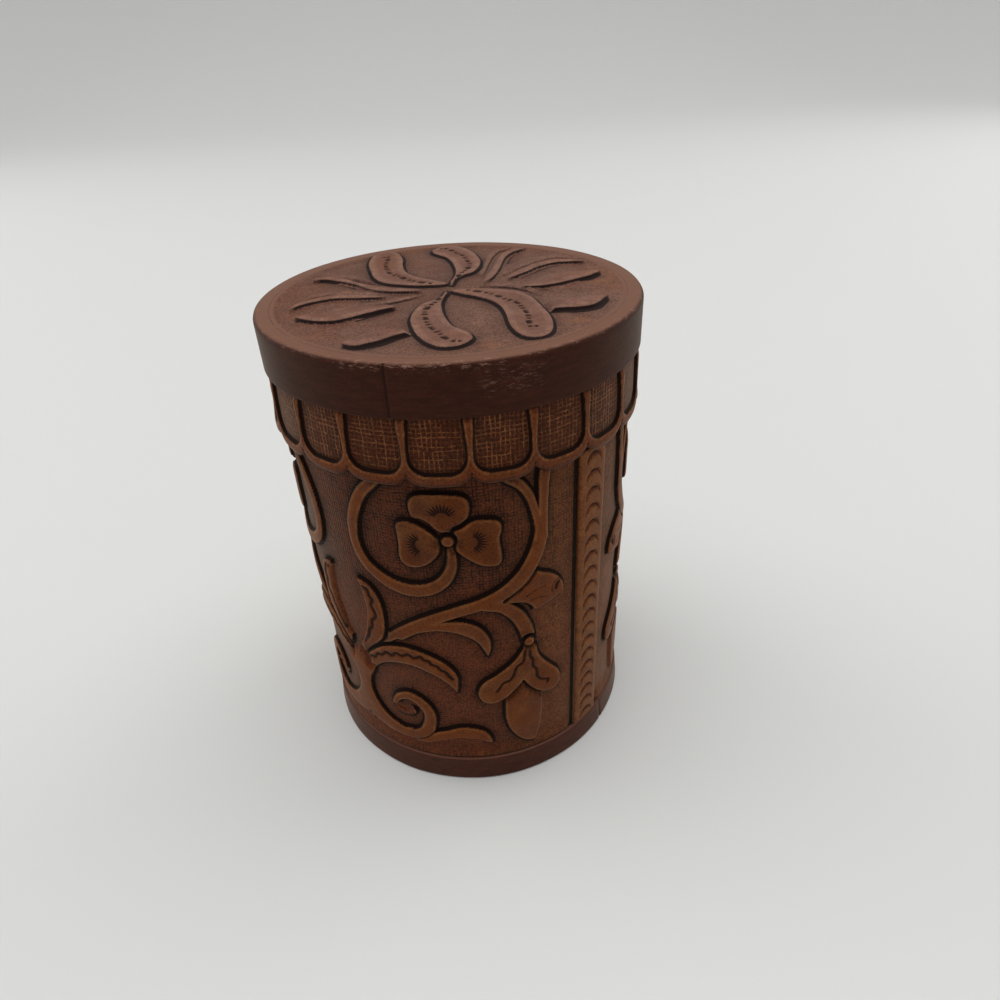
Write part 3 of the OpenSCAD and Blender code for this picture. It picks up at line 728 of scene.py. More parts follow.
class Graph:
    """Short ways to lay out shader nodes in one tree."""

    def __init__(self, tree: bpy.types.NodeTree) -> None:
        """Keeps the tree to build in."""
        self.tree = tree

    def add(self, kind: str, **settings: object) -> bpy.types.Node:
        """Adds a node.

        Args:
            kind: Type of the node.
            **settings: Its properties.

        Returns:
            The node.
        """
        node = self.tree.nodes.new(kind)
        for name, value in settings.items():
            setattr(node, name, value)
        return node

    def feed(self, target: bpy.types.NodeSocket, source: object) -> None:
        """Links a socket to a target, or sets the target's own value.

        Args:
            target: Socket that takes the value.
            source: An output socket, a number or a colour.
        """
        if isinstance(source, bpy.types.NodeSocket):
            self.tree.links.new(source, target)
        elif isinstance(source, tuple) and len(source) == 3 and target.type == "RGBA":
            target.default_value = (*source, 1.0)
        else:
            target.default_value = source

    def math(self, operation: str, first: object, second: object = 0.0) -> bpy.types.NodeSocket:
        """Adds a sum of two values.

        Args:
            operation: Which sum.
            first: First value or socket.
            second: Second value or socket.

        Returns:
            The result.
        """
        node = self.add("ShaderNodeMath", operation=operation)
        self.feed(node.inputs[0], first)
        self.feed(node.inputs[1], second)
        return node.outputs[0]

    def mix(self, factor: object, first: object, second: object) -> bpy.types.NodeSocket:
        """Mixes two colours.

        Args:
            factor: Share of the second colour.
            first: First colour or socket.
            second: Second colour or socket.

        Returns:
            The mixed colour.
        """
        node = self.add("ShaderNodeMix", data_type="RGBA")
        self.feed(node.inputs["Factor"], factor)
        self.feed(node.inputs[6], first)
        self.feed(node.inputs[7], second)
        return node.outputs[2]

    def ramp(self, value: object, low: object, high: object, start: object = 0.0,
             end: object = 1.0) -> bpy.types.NodeSocket:
        """Eases a value from one range to another.

        Args:
            value: The value.
            low: Where the result is start.
            high: Where the result is end.
            start: First result.
            end: Last result.

        Returns:
            The eased value.
        """
        node = self.add("ShaderNodeMapRange", interpolation_type="SMOOTHSTEP")
        self.feed(node.inputs["Value"], value)
        for name, bound in (("From Min", low), ("From Max", high), ("To Min", start), ("To Max", end)):
            self.feed(node.inputs[name], bound)
        return node.outputs["Result"]

    def product(self, first: object, *others: object) -> bpy.types.NodeSocket:
        """Multiplies values.

        Args:
            first: First value or socket.
            *others: The other values or sockets.

        Returns:
            The product.
        """
        for other in others:
            first = self.math("MULTIPLY", first, other)
        return first

    def stain(self, colour: object, mask: object, weight: object, dye: object) -> bpy.types.NodeSocket:
        """Stains a colour where a mask lies.

        Args:
            colour: The colour.
            mask: Where the stain lies, 0 to 1.
            weight: How strong it is.
            dye: Its colour.

        Returns:
            The stained colour.
        """
        return self.mix(self.product(mask, weight), colour, dye)

    def noise(self, vector: bpy.types.NodeSocket, look: Mottling,
              scale: Optional[bpy.types.NodeSocket] = None) -> bpy.types.NodeSocket:
        """Adds a noise pattern.

        Args:
            vector: Where to read it.
            look: Its scale and octaves.
            scale: A socket that gives its scale instead.

        Returns:
            The pattern's value.
        """
        node = self.add("ShaderNodeTexNoise")
        self.feed(node.inputs["Vector"], vector)
        self.feed(node.inputs["Scale"], look.scale if scale is None else scale)
        node.inputs["Detail"].default_value = look.detail
        node.inputs["Roughness"].default_value = look.roughness
        return node.outputs["Fac"]

    def wander(self, look: Mottling, reach: object) -> bpy.types.NodeSocket:
        """Makes an unevenness about zero.

        Args:
            look: Its pattern.
            reach: Its full width.

        Returns:
            The unevenness.
        """
        return self.product(self.math("SUBTRACT", self.noise(self.place(), look), 0.5), reach)

    def bump(self, shader: bpy.types.Node, height: object, depth: float, strength: float) -> None:
        """Lets a pattern of heights tilt a shader's normals.

        Args:
            shader: The shader.
            height: The heights, 0 to 1.
            depth: What a height of 1 stands for, in metres.
            strength: How strongly they show.
        """
        node = self.add("ShaderNodeBump")
        node.inputs["Distance"].default_value = depth
        node.inputs["Strength"].default_value = strength
        self.feed(node.inputs["Height"], height)
        self.feed(shader.inputs["Normal"], node.outputs["Normal"])

    def stretched(self, vector: bpy.types.NodeSocket, scale: Triple) -> bpy.types.NodeSocket:
        """Scales a vector along its axes.

        Args:
            vector: The vector.
            scale: Scale along each axis.

        Returns:
            The scaled vector.
        """
        node = self.add("ShaderNodeMapping")
        self.feed(node.inputs["Vector"], vector)
        node.inputs["Scale"].default_value = scale
        return node.outputs["Vector"]

    def place(self) -> bpy.types.NodeSocket:
        """Gives places on the object."""
        return self.add("ShaderNodeTexCoord").outputs["Object"]

    def attribute(self, name: str, output: str = "Fac") -> bpy.types.NodeSocket:
        """Reads a mesh attribute.

        Args:
            name: The attribute.
            output: Which of its outputs.

        Returns:
            Its value.
        """
        return self.add("ShaderNodeAttribute", attribute_name=name).outputs[output]

    def pair(self, name: str) -> tuple[bpy.types.NodeSocket, bpy.types.NodeSocket]:
        """Reads the first two values of a vector attribute.

        Args:
            name: The attribute.

        Returns:
            Its values.
        """
        parts = self.add("ShaderNodeSeparateXYZ")
        self.feed(parts.inputs[0], self.attribute(name, "Vector"))
        return parts.outputs[0], parts.outputs[1]

    def between(self, phase: bpy.types.NodeSocket) -> bpy.types.NodeSocket:
        """Measures how far a phase is from the nearest whole number.

        Args:
            phase: The phase.

        Returns:
            The distance, 0 to 0.5.
        """
        return self.math("ABSOLUTE", self.math("SUBTRACT", phase, self.math("ROUND", phase)))

    def chance(self, phase: bpy.types.NodeSocket) -> bpy.types.NodeSocket:
        """Draws a number from 0 to 1 for the whole number nearest to a phase.

        Args:
            phase: The phase.

        Returns:
            The number.
        """
        node = self.add("ShaderNodeTexWhiteNoise", noise_dimensions="1D")
        self.feed(node.inputs["W"], self.math("ROUND", phase))
        return node.outputs["Value"]

    def group(self, tree: bpy.types.NodeTree, **values: float) -> bpy.types.Node:
        """Places a node group.

        Args:
            tree: The group.
            **values: Its inputs in this place.

        Returns:
            The group's node.
        """
        node = self.add("ShaderNodeGroup", node_tree=tree)
        for name, value in values.items():
            node.inputs[name].default_value = value
        return node


def new_group(name: str, inputs: Mapping[str, float],
              outputs: Sequence[str]) -> tuple[Graph, bpy.types.Node, bpy.types.Node]:
    """Starts a shader node group that takes and gives values.

    Args:
        name: Name of the group.
        inputs: Its inputs and their usual values.
        outputs: Names of its outputs.

    Returns:
        The group's graph, its input node and its output node.
    """
    tree = bpy.data.node_groups.new(name, "ShaderNodeTree")
    for label, value in inputs.items():
        socket = tree.interface.new_socket(label, in_out="INPUT", socket_type="NodeSocketFloat")
        socket.default_value = value
    for label in outputs:
        tree.interface.new_socket(label, in_out="OUTPUT", socket_type="NodeSocketFloat")
    graph = Graph(tree)
    return graph, graph.add("NodeGroupInput"), graph.add("NodeGroupOutput")


def grain_group() -> bpy.types.NodeTree:
    """Makes leather grain: pebbles, fine creases and slow mottling.

    Returns:
        The group, with inputs Pebbles and Mottling, both per metre, and outputs Height, Mottle and Specks.
    """
    usual = {"Pebbles": 1500.0, "Mottling": 45.0}
    graph, given, out = new_group("Leather grain", usual, ("Height", "Mottle", "Specks"))
    place = graph.place()
    pebble = graph.add("ShaderNodeTexVoronoi", feature="SMOOTH_F1")
    graph.feed(pebble.inputs["Vector"], place)
    graph.feed(pebble.inputs["Scale"], given.outputs["Pebbles"])
    height = graph.math("ADD", graph.product(pebble.outputs["Distance"], 0.6), graph.noise(place, CREASES))
    graph.feed(out.inputs["Height"], height)
    slow = graph.noise(place, Mottling(usual["Mottling"], 3.0, 0.6), given.outputs["Mottling"])
    mottle = graph.product(graph.math("SUBTRACT", graph.noise(place, FINE_MOTTLING), 0.5), slow)
    graph.feed(out.inputs["Mottle"], graph.math("ADD", mottle, 0.5))
    specks = graph.noise(place, Mottling(usual["Pebbles"], 3.0, 0.7), given.outputs["Pebbles"])
    graph.feed(out.inputs["Specks"], graph.ramp(specks, 0.36, 0.6, 1.0, 0.0))
    return graph.tree


def dye_group() -> bpy.types.NodeTree:
    """Makes the dark dye that lies in cuts, veins and fans, the painted shade and stain beside cuts and in
    forms, and the strokes beside cuts.

    Returns:
        The group, with input Wander, in mm, and outputs Dye, the painted shade and stain, and Strokes.
    """
    graph, given, out = new_group("Cut dye", {"Wander": 0.6}, ("Dye", "Shade and stain", "Strokes"))
    wander = graph.wander(DYE_WANDER, given.outputs["Wander"])
    ink = graph.ramp(graph.math("ADD", graph.attribute("dye"), wander), 0.3, 0.75)
    vein = graph.ramp(graph.math("ADD", graph.attribute("vein"), wander), 0.2, 0.75, 0.9, 0.0)
    turn, reach = graph.pair("fan")
    half_width = graph.ramp(reach, 1.9, 5.6, 0.48, 0.06)
    line = graph.ramp(graph.math("SUBTRACT", graph.between(turn), half_width), -0.07, 0.07, 1.0, 0.0)
    spread = graph.ramp(graph.math("ABSOLUTE", turn), 4.6, 5.4, 1.0, 0.0)
    inner_end = graph.ramp(reach, 1.7, 2.2)
    outer_end = graph.ramp(graph.math("ADD", reach, wander), 3.7, 5.4, 1.0, 0.0)
    fan = graph.product(line, spread, inner_end, outer_end)
    graph.feed(out.inputs["Dye"], graph.math("MAXIMUM", graph.math("MAXIMUM", ink, vein), fan))
    # Painted shade beside cuts, strips and the collar, with the stain in forms' middles.
    graph.feed(out.inputs["Shade and stain"], graph.attribute("shade_and_stain"))
    along, gap = graph.pair("stroke")
    along = graph.math("ADD", along, wander)
    length = graph.math("ADD", graph.product(graph.chance(along), 3.4), 0.9)
    fade = graph.ramp(graph.math("DIVIDE", gap, length), 0.25, 1.0, 1.0, 0.0)
    stroke = graph.ramp(graph.between(along), 0.12, 0.34, 1.0, 0.0)
    graph.feed(out.inputs["Strokes"], graph.product(stroke, fade))
    return graph.tree


def hatch_group() -> bpy.types.NodeTree:
    """Makes cross-hatching of uneven lines.

    Returns:
        The group, with inputs Pitch, in mm, and Width, a share of it, and output Lines, up to 1 on a line.
    """
    graph, given, out = new_group("Cross hatching", {"Pitch": 1.1, "Width": 0.2}, ("Lines",))
    layout = graph.add("ShaderNodeUVMap", uv_map="Unrolled").outputs["UV"]
    wander = graph.wander(HATCH_WANDER, 1.1)
    uneven = graph.wander(HATCH_UNEVENNESS, 0.3)
    broken = graph.ramp(graph.noise(graph.place(), HATCH_BREAKS), 0.34, 0.56, 0.25, 1.0)
    parts = graph.add("ShaderNodeSeparateXYZ")
    graph.feed(parts.inputs[0], layout)
    lines = []
    for axis in (0, 1):
        phase = graph.math("DIVIDE", graph.math("ADD", parts.outputs[axis], wander), given.outputs["Pitch"])
        off = graph.math("ADD", graph.between(phase), uneven)
        strength = graph.ramp(graph.chance(phase), 0.0, 0.7, 0.3, 1.0)
        lines.append(graph.product(graph.ramp(off, 0.04, given.outputs["Width"], 1.0, 0.0), strength))
    graph.feed(out.inputs["Lines"], graph.product(graph.math("MAXIMUM", *lines), broken))
    return graph.tree


def wear_group() -> bpy.types.NodeTree:
    """Makes patchy rubbing and uneven stain.

    Returns:
        The group, with inputs Rubs and Streaks, per metre, and outputs Patches, Scuffs, Stain and Blush.
    """
    usual = {"Rubs": 60.0, "Streaks": 420.0}
    graph, given, out = new_group("Rubbed wear", usual, ("Patches", "Scuffs", "Stain", "Blush"))
    place = graph.place()
    level = graph.stretched(place, (1.0, 1.0, 4.0))
    patches = graph.noise(place, Mottling(usual["Rubs"], 5.0, 0.65), given.outputs["Rubs"])
    streaks = graph.noise(level, Mottling(usual["Streaks"], 5.0, 0.8), given.outputs["Streaks"])
    graph.feed(out.inputs["Patches"], graph.ramp(patches, 0.46, 0.72))
    graph.feed(out.inputs["Scuffs"], graph.ramp(streaks, 0.51, 0.66))
    graph.feed(out.inputs["Stain"], graph.noise(place, STAIN_PATCHES))
    graph.feed(out.inputs["Blush"], graph.ramp(graph.noise(place, BLUSH_PATCHES), 0.4, 0.64))
    return graph.tree


@dataclass
class Effects:
    """The node groups that several materials share."""

    grain: bpy.types.NodeTree = field(default_factory=grain_group)
    dye: bpy.types.NodeTree = field(default_factory=dye_group)
    hatch: bpy.types.NodeTree = field(default_factory=hatch_group)
    wear: bpy.types.NodeTree = field(default_factory=wear_group)


def new_material(name: str) -> tuple[bpy.types.Material, Graph, bpy.types.Node]:
    """Starts a material with one Principled shader.

    Args:
        name: Name of the material.

    Returns:
        The material, its graph and its shader.
    """
    material = bpy.data.materials.new(name)
    material.use_nodes = True
    graph = Graph(material.node_tree)
    return material, graph, material.node_tree.nodes["Principled BSDF"]


@dataclass(frozen=True, kw_only=True)
class Gloss:
    """How waxed leather shines: gloss, and a warm sheen where it is seen edge on."""

    roughness: float = 0.55
    specular: float = 0.06
    sheen: float = 0.0
    sheen_roughness: float = 0.35
    sheen_tint: Triple = (1.0, 0.85, 0.62)
    grain_depth: float = 0.0006
    grain_share: float = 0.12

    def polish(self, shader: bpy.types.Node) -> None:
        """Sets the shader's uniform gloss and sheen.

        Args:
            shader: The shader.
        """
        shader.inputs["Specular IOR Level"].default_value = self.specular
        shader.inputs["Sheen Weight"].default_value = self.sheen
        shader.inputs["Sheen Roughness"].default_value = self.sheen_roughness
        shader.inputs["Sheen Tint"].default_value = (*self.sheen_tint, 1.0)


@dataclass(frozen=True, kw_only=True)
class ToolingFinish(Gloss):
    """Carved leather: stained ground, warmer raised forms, near-black cuts, painted shade beside them and
    worn edges with painted highlights.
    """

    name: str
    ground: Triple
    raised: Triple
    tint: Triple
    rubbed: Triple
    dye: Triple
    blush: Triple
    pitch: float = 0.9
    line_width: float = 0.26
    line_tone: float = 0.0
    gap_tone: float = 0.0
    crest_tone: float = 0.0
    rubbing: float = 0.3
    stroke_tone: float = 0.85
    shade_and_stain_tone: float = 0.55
    dye_tone: float = 0.95
    blush_tone: float = 0.65
    dye_dullness: float = 0.2
    stipple: float = 0.0
    stipple_scale: float = 780.0
    line_height: float = 0.3
    bump_strength: float = 0.8

    def stained(self, graph: Graph, wear: bpy.types.Node, up: bpy.types.NodeSocket) -> bpy.types.NodeSocket:
        """Lays out the stain of ground and raised forms, with stamped dots in the ground.

        Args:
            graph: The material's graph.
            wear: The group of rubbing and stains.
            up: Where forms are raised.

        Returns:
            The colour.
        """
        colour = graph.mix(up, self.ground, self.raised)
        colour = graph.mix(graph.ramp(wear.outputs["Stain"], 0.4, 0.7, 0.0, 0.55), colour, self.tint)
        colour = graph.stain(colour, wear.outputs["Blush"], self.blush_tone, self.blush)
        if self.stipple:
            dots = graph.add("ShaderNodeTexVoronoi")
            graph.feed(dots.inputs["Vector"], graph.place())
            dots.inputs["Scale"].default_value = self.stipple_scale
            mark = graph.ramp(dots.outputs["Distance"], 0.2, 0.45, self.stipple, 0.0)
            colour = graph.stain(colour, mark, graph.math("SUBTRACT", 1.0, up), self.dye)
        return colour

    def material(self, effects: Effects) -> bpy.types.Material:
        """Makes the material.

        Args:
            effects: Shared node groups.

        Returns:
            The material.
        """
        material, graph, shader = new_material(self.name)
        grain = graph.group(effects.grain).outputs
        wear = graph.group(effects.wear)
        cuts = graph.group(effects.dye).outputs
        lines = graph.group(effects.hatch, Pitch=self.pitch, Width=self.line_width).outputs["Lines"]
        hatch = graph.attribute("hatch")
        drawn = graph.product(lines, hatch)
        gaps = graph.math("SUBTRACT", hatch, drawn)
        up = graph.ramp(graph.attribute("relief"), 0.25, 0.95)
        patches = wear.outputs["Patches"]
        bare = graph.ramp(grain["Mottle"], 0.3, 0.7, 0.2, 0.75)
        shade = graph.ramp(grain["Mottle"], 0.25, 0.75, 0.35, 0.0)
        colour = self.stained(graph, wear, up)
        for mask, tone, stain in ((gaps, self.gap_tone, self.dye), (drawn, self.line_tone, self.dye),
                                  (drawn, self.crest_tone, self.rubbed)):
            if tone:
                colour = graph.stain(colour, mask, tone, stain)
        # Painted shade beside cuts and under bands, with the stain in forms' middles.
        colour = graph.stain(colour, cuts["Shade and stain"], self.shade_and_stain_tone, self.dye)
        colour = graph.stain(colour, cuts["Strokes"], self.stroke_tone, self.dye)
        colour = graph.stain(colour, graph.product(patches, up), self.rubbing, self.rubbed)
        # Worn edges with painted highlights; on the lid, also the painted light that grows across its top.
        colour = graph.stain(colour, graph.attribute("wear_and_light"), bare, self.rubbed)
        colour = graph.mix(shade, colour, self.dye)
        colour = graph.stain(colour, grain["Specks"], graph.ramp(up, 0.0, 1.0, 0.6, 0.32), self.dye)
        colour = graph.stain(colour, graph.attribute("edge"), patches, self.tint)
        colour = graph.stain(colour, cuts["Dye"], self.dye_tone, self.dye)
        graph.feed(shader.inputs["Base Color"], colour)
        rough = graph.math("ADD", graph.product(cuts["Dye"], self.dye_dullness), self.roughness)
        graph.feed(shader.inputs["Roughness"], rough)
        self.polish(shader)
        ridges = graph.product(drawn, self.line_height * (self.crest_tone - self.line_tone))
        height = graph.math("ADD", graph.product(grain["Height"], self.grain_share), ridges)
        graph.bump(shader, height, self.grain_depth, self.bump_strength)
        return material


@dataclass(frozen=True, kw_only=True)
class BandFinish(Gloss):
    """Smooth waxed leather with fine level creases, dark in its seam, scuffed at its edge, and lighter on
    its top, partly wear and partly painted light from above.
    """

    name: str
    base: Triple
    deep: Triple
    rubbed: Triple
    scuffed: Triple
    speck_tone: float = 0.3
    scuff_tone: float = 0.85
    seam_tone: float = 0.85
    seam_wander: float = 0.3
    crease_stretch: float = 5.0
    crease_dullness: float = 0.12
    crease_height: float = 0.2
    bump_strength: float = 0.6

    def material(self, effects: Effects) -> bpy.types.Material:
        """Makes the material.

        Args:
            effects: Shared node groups.

        Returns:
            The material.
        """
        material, graph, shader = new_material(self.name)
        grain = graph.group(effects.grain).outputs
        wear = graph.group(effects.wear).outputs
        seam = graph.group(effects.dye, Wander=self.seam_wander).outputs["Dye"]
        creases = graph.noise(graph.stretched(graph.place(), (1.0, 1.0, self.crease_stretch)), BAND_CREASES)
        colour = graph.mix(graph.ramp(creases, 0.25, 0.75, 0.35, 0.85), self.deep, self.base)
        colour = graph.mix(graph.ramp(grain["Mottle"], 0.3, 0.75, 0.35, 0.0), colour, self.deep)
        colour = graph.stain(colour, grain["Specks"], self.speck_tone, self.deep)
        # Lighter top: partly wear, partly painted light from above.
        colour = graph.mix(graph.attribute("wear_and_light"), colour, self.rubbed)
        scuffs = graph.product(wear["Scuffs"], graph.attribute("edge"))
        colour = graph.stain(colour, scuffs, self.scuff_tone, self.scuffed)
        colour = graph.stain(colour, seam, self.seam_tone, self.deep)
        graph.feed(shader.inputs["Base Color"], colour)
        dulled = graph.product(creases, self.crease_dullness)
        rough = graph.math("ADD", dulled, self.roughness - self.crease_dullness / 2)
        graph.feed(shader.inputs["Roughness"], rough)
        self.polish(shader)
        height = graph.math("ADD", graph.product(grain["Height"], self.grain_share),
                            graph.product(creases, self.crease_height))
        graph.bump(shader, height, self.grain_depth, self.bump_strength)
        return material


@dataclass(frozen=True)
class PlainFinish:
    """Board, cloth or thin leather that is hidden or seen only when the lid is off."""

    name: str
    base: Triple
    flecks: Triple
    scale: float
    stretch: Triple
    roughness: float
    fleck_depth: float = 0.0004
    grain_share: float = 0.1
    bump_strength: float = 0.5

    def material(self, effects: Effects) -> bpy.types.Material:
        """Makes the material.

        Args:
            effects: Shared node groups.

        Returns:
            The material.
        """
        material, graph, shader = new_material(self.name)
        grain = graph.group(effects.grain).outputs["Height"]
        fleck = graph.noise(graph.stretched(graph.place(), self.stretch), Mottling(self.scale, 4.0, 0.65))
        colour = graph.mix(graph.ramp(fleck, 0.35, 0.7), self.base, self.flecks)
        graph.feed(shader.inputs["Base Color"], colour)
        shader.inputs["Roughness"].default_value = self.roughness
        height = graph.math("ADD", fleck, graph.product(grain, self.grain_share))
        graph.bump(shader, height, self.fleck_depth, self.bump_strength)
        return material


# The worn colour also paints highlights on worn edges.
TOOLED = ToolingFinish(
    name="Tooled leather", ground=srgb(123, 63, 37), raised=srgb(120, 61, 22), tint=srgb(117, 61, 30),
    rubbed=srgb(150, 97, 54), dye=srgb(22, 10, 6), blush=srgb(109, 61, 38),
    sheen=0.17, pitch=1.0, line_width=0.32, line_tone=0.9, gap_tone=0.08)
COLLAR = replace(
    TOOLED, name="Collar leather", ground=srgb(112, 52, 26), rubbed=srgb(152, 98, 58),
    pitch=1.25, line_width=0.2, line_tone=0.0, gap_tone=0.5, crest_tone=0.75)
# The medallion's worn colour also paints the light that grows across its top, and the highlights on worn
# edges.
MEDALLION = ToolingFinish(
    name="Medallion leather", ground=srgb(131, 91, 73), raised=srgb(125, 84, 68), tint=srgb(140, 85, 51),
    rubbed=srgb(164, 122, 102), dye=srgb(27, 13, 10), blush=srgb(118, 72, 56),
    specular=0.15, stipple=0.25, stroke_tone=0.35)
# The bands' worn colour also paints their top as lit from above.
BAND = BandFinish(
    name="Base band leather", base=srgb(92, 51, 38), deep=srgb(50, 26, 18), rubbed=srgb(110, 74, 60),
    scuffed=srgb(160, 120, 104), roughness=0.45, specular=0.05, sheen=0.16)
BAND_LID = BandFinish(
    name="Lid band leather", base=srgb(78, 41, 28), deep=srgb(40, 20, 13), rubbed=srgb(116, 80, 64),
    scuffed=srgb(176, 138, 120), roughness=0.5, specular=0.05, sheen=0.1)
FACING = PlainFinish(
    "Neck facing leather", srgb(104, 66, 54), srgb(84, 50, 42), 120.0, (1.0, 1.0, 2.0), 0.5)
BOARD = PlainFinish("Fibre board", srgb(176, 150, 116), srgb(150, 122, 90), 300.0, (1.0, 1.0, 5.0), 0.85)
LINING = PlainFinish("Lining cloth", srgb(168, 140, 106), srgb(146, 118, 88), 900.0, (1.0, 1.0, 1.0), 0.9)


# What the vertices of hidden backs carry.
PLAIN_VALUES = {
    "relief": 0.5, "dye": 0.0, "shade_and_stain": 0.0, "wear_and_light": 0.0, "vein": FAR, "hatch": 0.0, "edge": 0.0}
PLAIN_PAIRS = {"fan": -FAR, "stroke": FAR}


def grid(across: np.ndarray, up: np.ndarray) -> tuple[np.ndarray, np.ndarray]:
    """Spreads points over a grid, row by row.

    Args:
        across: First numbers of the points in a row.
        up: Second number of each row.

    Returns:
        The first and the second numbers of all points.
    """
    first, second = np.meshgrid(across, up)
    return first.ravel(), second.ravel()


def grid_quads(rows: int, columns: int) -> np.ndarray:
    """Lists the faces of a grid of points.

    Args:
        rows: Rows of points.
        columns: Points in a row.

    Returns:
        Four indices for each face.
    """
    first = (np.arange(rows - 1)[:, None] * columns + np.arange(columns - 1)).ravel()
    return np.stack([first, first + 1, first + columns + 1, first + columns], 1)


@dataclass
class Piece:
    """A mesh in mm with its attributes and what it stands for.

    Values and the unrolled layout cover the first vertices; the rest, on hidden backs, take plain defaults.
    """

    name: str
    vertices: np.ndarray
    faces: list[list[int]]
    body: Body
    slot: Slot
    node: str
    values: dict[str, np.ndarray] = field(default_factory=dict)
    unrolled: Optional[np.ndarray] = None

    def spread(self, mesh: bpy.types.Mesh) -> None:
        """Writes the attributes and the unrolled layout.

        Args:
            mesh: The piece's mesh.
        """
        count = len(self.vertices)
        for name, default in PLAIN_VALUES.items():
            given = self.values.get(name, np.zeros(0))
            full = np.full(count, default, np.float32)
            full[:len(given)] = given
            mesh.attributes.new(name, "FLOAT", "POINT").data.foreach_set("value", full)
        for name, default in PLAIN_PAIRS.items():
            pairs = np.tile(np.array([0.0, default, 0.0], np.float32), (count, 1))
            given = self.values.get(name, np.zeros((0, 2)))
            pairs[:len(given), :2] = given
            mesh.attributes.new(name, "FLOAT_VECTOR", "POINT").data.foreach_set("vector", pairs.ravel())
        if self.unrolled is not None:
            layout = np.zeros((count, 2), np.float32)
            layout[:len(self.unrolled)] = self.unrolled
            corners = np.zeros(len(mesh.loops), np.int32)
            mesh.loops.foreach_get("vertex_index", corners)
            mesh.uv_layers.new(name="Unrolled").data.foreach_set("uv", layout[corners].ravel())

    def make(self, material: bpy.types.Material) -> bpy.types.Object:
        """Makes the object, dresses it and puts it on its body in place of its CAD node.

        Args:
            material: Its finish.

        Returns:
            The object.
        """
        mesh = bpy.data.meshes.new(self.name)
        mesh.from_pydata((self.vertices * MM).tolist(), [], self.faces)
        self.spread(mesh)
        mesh.polygons.foreach_set("use_smooth", np.ones(len(mesh.polygons), bool))
        mesh.materials.append(material)
        piece = bpy.data.objects.new(self.name, mesh)
        bpy.context.scene.collection.objects.link(piece)
        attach(piece, self.body.value)
        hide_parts(self.node)
        LOG.info("%s: %d faces, stands for %s", self.name, len(mesh.polygons), self.node)
        return piece


def on_wall(radius: np.ndarray, turn: np.ndarray, height: np.ndarray) -> np.ndarray:
    """Places points round the Z axis.

    Args:
        radius: Distance from the axis.
        turn: Angle from the front, in radians, growing to the right.
        height: Height.

    Returns:
        The points' X, Y and Z.
    """
    level = np.broadcast_to(height, radius.shape)
    return np.stack([radius * np.sin(turn), -radius * np.cos(turn), level], -1)


def thickened(outer: np.ndarray, inner: np.ndarray) -> tuple[np.ndarray, list[list[int]]]:
    """Closes a carved sheet with a plain back and edges.

    Args:
        outer: Grid of outer points, rows from the bottom up.
        inner: Points behind its bottom and top rows.

    Returns:
        All points, and the faces.
    """
    rows, columns = outer.shape[:2]
    count = rows * columns
    points = np.concatenate([outer.reshape(-1, 3), inner.reshape(-1, 3)])
    low, high = count + np.arange(columns), count + columns + np.arange(columns)
    bottom, top = np.arange(columns), (rows - 1) * columns + np.arange(columns)

    def between(a: np.ndarray, b: np.ndarray) -> np.ndarray:
        """Joins two rows of points with faces."""
        return np.stack([a[:-1], a[1:], b[1:], b[:-1]], 1)

    closing = (between(low, bottom), between(top, high), between(high, low))
    quads = np.concatenate([grid_quads(rows, columns), *closing])
    left = np.arange(rows) * columns
    ends = [[int(low[0]), *left.tolist(), int(high[0])],
            [int(high[-1]), *(left + columns - 1)[::-1].tolist(), int(low[-1])]]
    return points, quads.tolist() + ends


@dataclass
class WallSheet:
    """Leather on the wall as a grid of points, rows from the bottom up, in mm and radians."""

    node: str
    columns: int
    radius: np.ndarray
    turn: np.ndarray
    height: np.ndarray

    def make(self, work: str, values: dict[str, np.ndarray], along: np.ndarray,
             material: bpy.types.Material) -> bpy.types.Object:
        """Closes the sheet with a plain back and puts it on the canister.

        Args:
            work: How it is worked, for the end of its name.
            values: Its attributes.
            along: How far its points lie along the wall, for the unrolled layout.
            material: Its finish.

        Returns:
            The object.
        """
        outer = on_wall(self.radius, self.turn, self.height).reshape(-1, self.columns, 3)
        behind = np.full(self.columns, radii(self.node)[0])
        ends = (self.height[:self.columns], self.height[-self.columns:])
        inner = np.stack([on_wall(behind, self.turn[:self.columns], end) for end in ends])
        points, faces = thickened(outer, inner)
        piece = Piece(f"{self.node}_{work}", points, faces, Body.CANISTER, Slot.TOOLED, self.node, values,
                      np.stack([along, self.height], 1))
        return piece.make(material)


